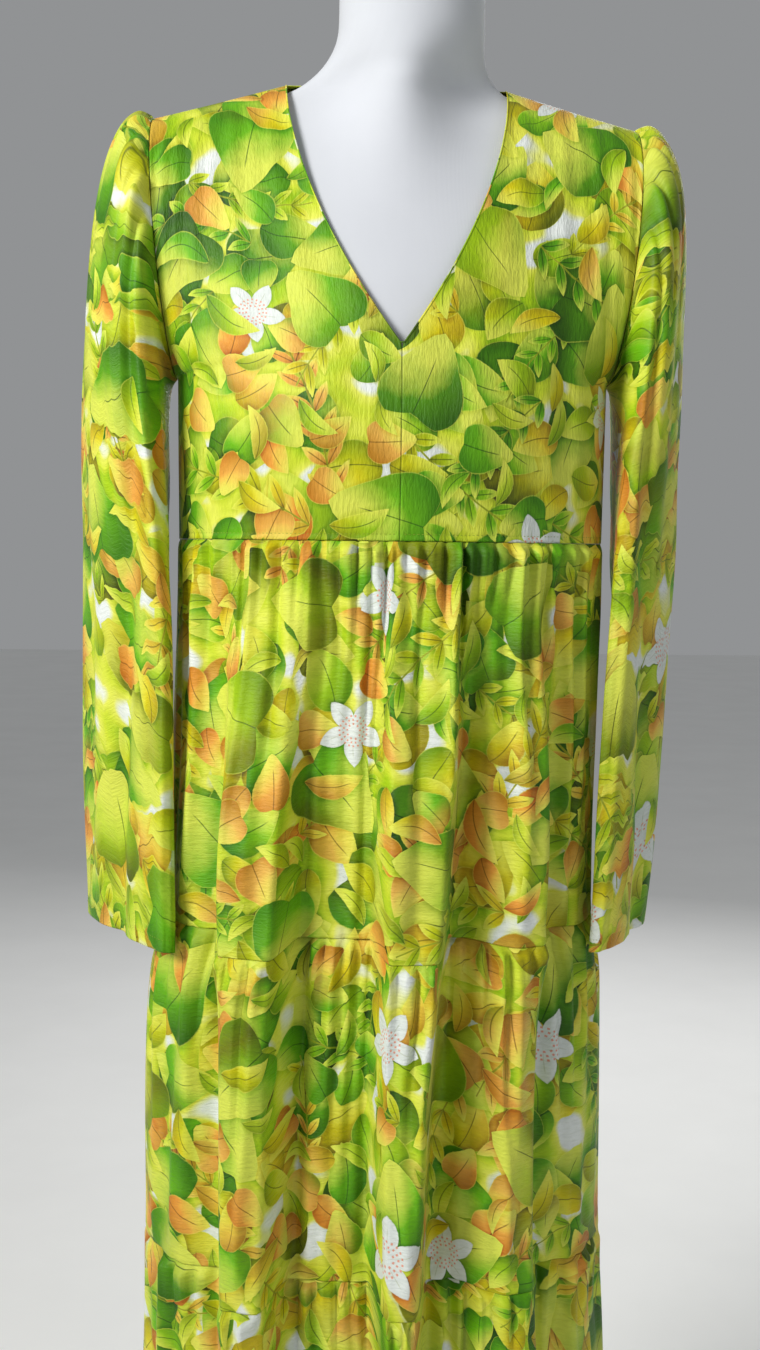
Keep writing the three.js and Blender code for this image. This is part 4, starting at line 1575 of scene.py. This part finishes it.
@dataclass(frozen=True)
class StitchMaker:
    """Sews rows of small stitches, each row one piece."""

    maker: PieceMaker
    material: bpy.types.Material
    pitch: float = 0.0034
    stitch: float = 0.0024
    thread: float = 0.0002

    def row(self, name: str, paths: Sequence[tuple[Array, Array]], slot: str) -> None:
        """Sew stitches along paths.

        Args:
            name: The piece's name.
            paths: Points and outward normals along each row.
            slot: The material slot that the row belongs to.
        """
        vertices: list[Array] = []
        faces: list[list[int]] = []
        for points, normals in paths:
            distance = walked(points[None], 1)[0]
            count = int(distance[-1] / self.pitch)
            for index in range(count):
                middle = (index + 0.5) * distance[-1] / count
                ends = [middle - self.stitch / 2, middle - self.stitch / 4,
                        middle + self.stitch / 4, middle + self.stitch / 2]
                line = np.stack([np.interp(ends, distance, points[:, k]) for k in range(3)], axis=1)
                normal = np.array([np.interp(middle, distance, normals[:, k]) for k in range(3)])
                self.stitch_mesh(vertices, faces, line, unit(normal))
        self.maker.add(name, make_mesh(name, np.array(vertices), faces), self.material, slot)

    def stitch_mesh(self, vertices: list[Array], faces: list[list[int]], line: Array,
                    normal: Array) -> None:
        """Add one stitch: two rings of four points between two pointed ends.

        Args:
            vertices: The row's points so far.
            faces: The row's faces so far.
            line: Four points along the stitch.
            normal: Direction out of the cloth.
        """
        start = len(vertices)
        along = line[3] - line[0]
        side = unit(np.cross(normal, along)) * self.thread
        lift = normal * self.thread
        vertices.append(line[0])
        for centre in (line[1], line[2]):
            raised = centre + lift * 1.1
            vertices.extend([raised + side, raised + lift, raised - side, raised - lift])
        vertices.append(line[3])
        for corner in range(4):
            after = (corner + 1) % 4
            faces.append([start, start + 1 + after, start + 1 + corner])
            faces.append([start + 1 + corner, start + 1 + after, start + 5 + after, start + 5 + corner])
            faces.append([start + 9, start + 5 + corner, start + 5 + after])


def path_on(surface: Surface, across: Array, down: Array, outward: Array) -> tuple[Array, Array]:
    """Points and outward normals of a line on a surface.

    Args:
        surface: The cloth's surface.
        across: Shares across, one for each point.
        down: Shares down, one for each point.
        outward: A rough outward direction, for one point or for each.

    Returns:
        The points and the normals.
    """
    points = surface(across, down)
    normals = sheet_normals(surface, across, down)
    signs = np.sign((normals * outward).sum(axis=-1, keepdims=True))
    return points, normals * signs


@dataclass(frozen=True)
class Trims:
    """Stitching of the dress and the turned edge of its neck."""

    edge_radius: float = 0.0006
    edge_sides: int = 8

    def empire_rows(self, bodice: Bodice) -> list[tuple[Array, Array]]:
        """Lay out the stitch line just above the empire seam.

        Args:
            bodice: The bodice whose fronts it runs on.

        Returns:
            Points and normals of each row.
        """
        halves = [*bodice.fronts().values(), *bodice.backs()]
        across = np.linspace(0.01, 0.99, 160)
        share = EMPIRE_STITCH / (SIZES.underarm_z - SIZES.empire_z)
        climb = np.full_like(across, share * UNDERARM_SHARE)
        rows = []
        for half in halves:
            outward = np.array([half.side.value * 0.6, half.face.value, 0.0])
            rows.append(path_on(half.surface, across, climb, outward))
        return rows

    def hem_rows(self, tiers: Sequence[SkirtTier]) -> list[tuple[Array, Array]]:
        """Lay out the stitch line above the skirt's hem.

        Args:
            tiers: The front and back of the last tier.

        Returns:
            Points and normals of each row.
        """
        rows = []
        for tier in tiers:
            share = even_shares(tier.surface, 0.98, 420)
            down = np.full_like(share, 1 - tier.hem_stitch / (tier.top_z - tier.low_z))
            rows.append(path_on(tier.surface, share, down, np.array([0.0, tier.face.value, 0.0])))
        return rows

    def sleeve_rows(self, sleeve: BellSleeve) -> list[tuple[Array, Array]]:
        """Lay out the stitch line above a sleeve's hem.

        Args:
            sleeve: The sleeve it runs round.

        Returns:
            Points and normals of the row.
        """
        turn = np.linspace(-0.498, 0.498, 300)
        at = np.full_like(turn, 1 - sleeve.hem_stitch / sleeve.length)
        points, normals = path_on(sleeve.surface, turn, at, np.array([1.0, 0.0, 0.0]))
        out = points - points.mean(axis=0)
        signs = np.sign((normals * out).sum(axis=1, keepdims=True))
        return [(points, normals * signs)]

    def neck_edge(self, maker: PieceMaker, material: bpy.types.Material, bodice: Bodice) -> None:
        """Make the narrow turned edge round the neckline.

        Args:
            maker: Adds the piece to the scene.
            material: Its finish.
            bodice: The bodice whose neckline it follows.
        """
        climb = np.linspace(UNDERARM_SHARE + 0.002, 0.9975, 150)
        back_climb = np.linspace(0.9975, 0.8005, 60)
        edge = np.full_like(climb, 0.004)
        left, right = (half.surface(edge, climb) for half in bodice.fronts().values())
        back_edge = np.full_like(back_climb, 0.004)
        back_left, back_right = (half.surface(back_edge, back_climb) for half in bodice.backs())
        loop = np.concatenate([right, back_right[1:], back_left[::-1][1:], left[::-1][1:]])
        count = len(loop)
        tangent = unit(np.roll(loop, -1, axis=0) - np.roll(loop, 1, axis=0))
        first = unit(np.cross(tangent, np.array([0.0, 0.0, 1.0])))
        second = np.cross(tangent, first)
        angles = np.arange(self.edge_sides) / self.edge_sides * FULL_TURN
        ring = np.cos(angles)[:, None, None] * first + np.sin(angles)[:, None, None] * second
        points = (loop + ring * self.edge_radius).transpose(1, 0, 2)
        index = np.arange(count * self.edge_sides).reshape(count, self.edge_sides)
        down = np.roll(index, -1, axis=0)
        faces = np.stack([index, np.roll(index, -1, axis=1), np.roll(down, -1, axis=1), down], axis=-1)
        flat = np.stack([loop[:, 0], FLAT_TOP_Z - loop[:, 2], loop[:, 1] * 0], axis=1)
        places = np.repeat(flat, self.edge_sides, axis=0)
        mesh = make_mesh("neck_edge", points, faces.reshape(-1, 4).tolist(), places)
        maker.add("neck_edge", mesh, material, "bodice_cloth")


FORM = Table(
    ("z", "half", "front", "back", "neck_front", "neck_back"),
    (
        (0.862, 0.150, 0.088, 0.096, 0.0, 0.0),
        (0.920, 0.156, 0.092, 0.096, 0.0, 0.0),
        (0.985, 0.142, 0.088, 0.090, 0.0, 0.0),
        (1.050, 0.124, 0.084, 0.082, 0.0, 0.0),
        (1.107, 0.131, 0.092, 0.082, 0.0, 0.0),
        (1.160, 0.142, 0.106, 0.086, 0.0, 0.0),
        (1.215, 0.151, 0.112, 0.089, 0.0, 0.0),
        (1.260, 0.157, 0.106, 0.090, 0.0, 0.0),
        (1.310, 0.166, 0.094, 0.088, 0.0, 0.0),
        (1.360, 0.177, 0.077, 0.080, 0.001, 0.002),
        (1.400, 0.184, 0.056, 0.066, 0.010, 0.008),
        (1.425, 0.186, 0.040, 0.050, 0.021, 0.015),
        (1.441, 0.180, 0.030, 0.038, 0.029, 0.023),
        (1.455, 0.158, 0.021, 0.026, 0.037, 0.032),
        (1.466, 0.121, 0.015, 0.018, 0.042, 0.040),
        (1.475, 0.092, 0.014, 0.016, 0.043, 0.042),
        (1.486, 0.076, 0.024, 0.026, 0.032, 0.032),
        (1.500, 0.066, 0.042, 0.044, 0.016, 0.016),
        (1.520, 0.061, 0.056, 0.058, 0.003, 0.003),
        (1.575, 0.060, 0.058, 0.060, 0.001, 0.001),
        (1.585, 0.059, 0.057, 0.059, 0.001, 0.001),
    ),
)


@dataclass(frozen=True)
class DressForm:
    """The limbless form: body and neck in one smooth piece, closed at the hips and the neck."""

    bottom_z: float = 0.862
    neck_top_z: float = 1.588
    neck_shift: float = 0.012
    neck_from_z: float = 1.455
    hump_width: float = 0.046
    columns: int = 128
    rows: int = 170
    cap_rings: int = 10
    cap_edge: float = 0.004

    def ring(self, z: float) -> Array:
        """Points of one level ring.

        Args:
            z: Height above the floor.

        Returns:
            The ring's points.
        """
        half, front, back, neck_front, neck_back = (
            float(FORM.at(column, z)) for column in FORM.columns[1:]
        )
        angle = np.arange(self.columns) / self.columns * FULL_TURN
        x = half * np.cos(angle)
        is_front = np.sin(angle) < 0
        hump = np.where(is_front, neck_front, neck_back) * bump_at(x, 0.0, self.hump_width)
        y = (np.where(is_front, front, back) + hump) * np.sin(angle)
        shift = self.neck_shift * float(smooth(np.array((z - self.neck_from_z) / 0.075)))
        return np.stack([x + shift, y, np.full_like(x, z)], axis=1)

    def cap(self, z: float, edge: float) -> list[Array]:
        """Rings that close an end, with a rounded edge.

        Args:
            z: Height of the flat end.
            edge: Height of the rounded edge, below zero for the lower end.

        Returns:
            The rings from the outside in.
        """
        outline = self.ring(z - edge)
        centre = outline.mean(axis=0)
        rings = []
        for step in range(1, self.cap_rings + 1):
            share = step / self.cap_rings
            turn = min(share * 3, 1.0) * math.pi / 2
            inset = abs(edge) * (1 - math.cos(turn)) / 0.06
            scale = (1 - inset) * (1 - max(0.0, share * 3 - 1) / 2 * 0.97)
            level = centre + (outline - centre) * scale
            level[:, 2] = z - edge * (1 - math.sin(turn))
            rings.append(level)
        return rings

    def build(self, maker: PieceMaker, material: bpy.types.Material) -> None:
        """Make the form.

        Args:
            maker: Adds the piece to the scene.
            material: Its finish.
        """
        low, high = self.bottom_z + self.cap_edge, self.neck_top_z - self.cap_edge
        lower = self.cap(self.bottom_z, -self.cap_edge)[::-1]
        upper = self.cap(self.neck_top_z, self.cap_edge)
        rings = lower + [self.ring(z) for z in np.linspace(low, high, self.rows)] + upper
        points = np.concatenate(rings)
        index = np.arange(len(points)).reshape(len(rings), self.columns)
        after = np.roll(index, -1, axis=1)
        faces = np.stack([index[:-1], after[:-1], after[1:], index[1:]], axis=-1).reshape(-1, 4).tolist()
        faces.append(index[0][::-1].tolist())
        faces.append(index[-1].tolist())
        angle = np.arange(self.columns) / self.columns * FULL_TURN
        around = np.sin(angle - math.pi / 4) * 0.35
        places = np.stack([np.tile(around, len(rings)), points[:, 2], points[:, 0] * 0], axis=1)
        mesh = make_mesh("torso_jersey", points, faces, places)
        piece = maker.add("torso_jersey", mesh, material, "form_jersey")
        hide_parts("form_torso")


@dataclass(frozen=True)
class Stand:
    """Pole and base, which keep their solids and get their finishes."""

    pole: PlainFinish = PlainFinish("satin_steel", srgb(176, 178, 180), 0.34, 1.0, 220.0, 0.00003,
                                    (6.0, 6.0, 0.4))
    base: PlainFinish = PlainFinish("white_enamel", srgb(226, 226, 223), 0.4, 0.0, 90.0, 0.00006)

    def dress(self) -> None:
        """Give both nodes their finish."""
        for node, finish in (("stand_pole", self.pole), ("stand_base", self.base)):
            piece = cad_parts[node]
            piece.data.materials.clear()
            piece.data.materials.append(finish.make())
            log.info("%s: %s", node, finish.name)


@dataclass(frozen=True)
class Studio:
    """Floor, soft light and the camera."""

    eye: tuple[float, float, float] = (-0.075, -1.28, 1.105)
    pitch: float = 5.0
    yaw: float = 3.0
    roll: float = 0.7
    lens: float = 40.0
    sensor: float = 36.0
    floor_reach: float = 14.0
    aim_z: float = 1.34
    air: tuple[float, float, float, float] = (0.86, 0.88, 0.9, 1.0)
    air_strength: float = 0.33

    def camera(self) -> None:
        """Place the camera where the view is taken from."""
        pitch, yaw, roll = (math.radians(value) for value in (self.pitch, self.yaw, self.roll))
        level_share = math.cos(pitch)
        forward = Vector((math.sin(yaw) * level_share, math.cos(yaw) * level_share, -math.sin(pitch)))
        level = forward.cross(Vector((0.0, 0.0, 1.0))).normalized()
        above = level.cross(forward)
        right = level * math.cos(roll) + above * math.sin(roll)
        up = right.cross(forward)
        data = bpy.data.cameras.new("camera")
        data.lens = self.lens
        data.sensor_width = self.sensor
        camera = bpy.data.objects.new("camera", data)
        turned = Matrix((right, up, -forward)).transposed().to_4x4()
        camera.matrix_world = Matrix.Translation(self.eye) @ turned
        bpy.context.scene.collection.objects.link(camera)
        bpy.context.scene.camera = camera

    def light(self, name: str, place: Sequence[float], size: float, power: float, colour: Colour,
              spread: float = 180.0) -> None:
        """Add one soft square light that faces the dress.

        Args:
            name: The light's name.
            place: Where it stands.
            size: Length of its sides.
            power: Its power in watts.
            colour: Its colour.
            spread: Angle of its beam in degrees.
        """
        data = bpy.data.lights.new(name, "AREA")
        data.size = size
        data.energy = power
        data.color = colour
        data.spread = math.radians(spread)
        lamp = bpy.data.objects.new(name, data)
        lamp.location = place
        aim = Vector((0.0, 0.0, self.aim_z)) - Vector(place)
        lamp.rotation_euler = aim.to_track_quat("-Z", "Y").to_euler()
        bpy.context.scene.collection.objects.link(lamp)

    def floor(self) -> None:
        """Lay the pale floor."""
        reach = self.floor_reach
        corners = [(-reach, -reach, 0.0), (reach, -reach, 0.0), (reach, reach, 0.0), (-reach, reach, 0.0)]
        mesh = make_mesh("floor", np.array(corners), [[0, 1, 2, 3]])
        floor = bpy.data.objects.new("floor", mesh)
        mesh.materials.append(PlainFinish("pale_floor", srgb(249, 249, 247), 0.9, 0.0, 3.0).make())
        bpy.context.scene.collection.objects.link(floor)

    def build(self) -> None:
        """Set up the whole studio."""
        self.camera()
        self.light("window", (-2.3, -1.9, 2.5), 1.1, 29.0, (1.0, 0.99, 0.97), 90.0)
        self.light("fill", (2.2, -2.1, 1.3), 1.6, 6.0, (0.95, 0.97, 1.0))
        self.light("behind", (0.8, 2.6, 2.3), 1.8, 40.0, (1.0, 1.0, 1.0))
        self.floor()
        world = bpy.data.worlds.new("studio")
        bpy.context.scene.world = world
        world.use_nodes = True
        background = world.node_tree.nodes["Background"]
        background.inputs["Color"].default_value = self.air
        background.inputs["Strength"].default_value = self.air_strength
        bpy.context.scene.view_settings.view_transform = "Standard"


@dataclass(frozen=True)
class SheetCut:
    """What one piece of cloth was cut to, in metres, and how it is held."""

    width: float
    length: float
    held: str
    rests_on: str
    area: float | None = None


def sheet_cuts() -> dict[str, SheetCut]:
    """List the cut of each piece.

    Returns:
        The cuts by the pieces' names.
    """
    front = SheetCut(0.235, 0.385, "draped", "form_torso", 0.068)
    sleeve = SheetCut(0.36, 0.70, "hung", "bodice_back", 0.220)
    cuts = {
        "bodice_front_left": front,
        "bodice_front_right": front,
        "bodice_back": SheetCut(0.44, 0.385, "draped", "form_torso", 0.165),
        "sleeve_left": sleeve,
        "sleeve_right": sleeve,
    }
    tiers = {1: (0.72, 0.335), 2: (0.80, 0.30), 3: (0.90, 0.345)}
    for tier, (width, length) in tiers.items():
        for face in ("front", "back"):
            above = f"tier_{tier - 1}_{face}" if tier > 1 else "bodice_back"
            cuts[f"tier_{tier}_{face}"] = SheetCut(width, length, "gathered", above)
    return cuts


def declare_sheets(grids: dict[str, ClothGrid]) -> None:
    """Log every piece of cloth's surface and the size it was cut to.

    Args:
        grids: The pieces' grids, for their surface.
    """
    for name, cut in sheet_cuts().items():
        cut.area
        log.info("%s: surface %.3f m2, cut %.3f by %.3f m", name, grids[name].area, cut.width, cut.length)


def main() -> None:
    """Build the whole dress, its form, its stand and the studio."""
    logging.basicConfig(level=logging.INFO, format="%(name)s: %(message)s")
    Studio().build()
    maker = PieceMaker()
    bodice_silk = PrintedSilk("bodice_silk", 430.0, 95.0, (0.30, 0.10, 0.0)).make()
    sleeve_silk = PrintedSilk("sleeve_silk", 95.0, 430.0, (0.11, 0.47, 0.0)).make()
    skirt_silk = PrintedSilk("skirt_silk", 95.0, 430.0, (0.70, 0.20, 0.0)).make()
    bodice = Bodice()
    grids = bodice.build(maker, bodice_silk)
    sleeves = [BellSleeve(Side.LEFT, 1.22, 1.22), BellSleeve(Side.RIGHT, 1.15, 0.65)]
    for sleeve in sleeves:
        grids[sleeve.name] = sleeve.build(maker, sleeve_silk)
    tiers = [SkirtTier(tier, face) for tier in (1, 2, 3) for face in Face]
    for panel in tiers:
        grids[panel.name] = panel.build(maker, skirt_silk)
    thread = PlainFinish("silk_thread", srgb(150, 166, 40), 0.5, 0.0, 900.0).make()
    stitches = StitchMaker(maker, thread)
    trims = Trims()
    stitches.row("stitches_empire", trims.empire_rows(bodice), "bodice_cloth")
    stitches.row("stitches_hem", trims.hem_rows([panel for panel in tiers if panel.is_last]), "skirt_cloth")
    for sleeve in sleeves:
        stitches.row(f"stitches_{sleeve.name}", trims.sleeve_rows(sleeve), "sleeve_cloth")
    trims.neck_edge(maker, bodice_silk, bodice)
    DressForm().build(maker, StretchJersey().make())
    Stand().dress()
    declare_sheets(grids)


if __name__ == "__main__":
    main()
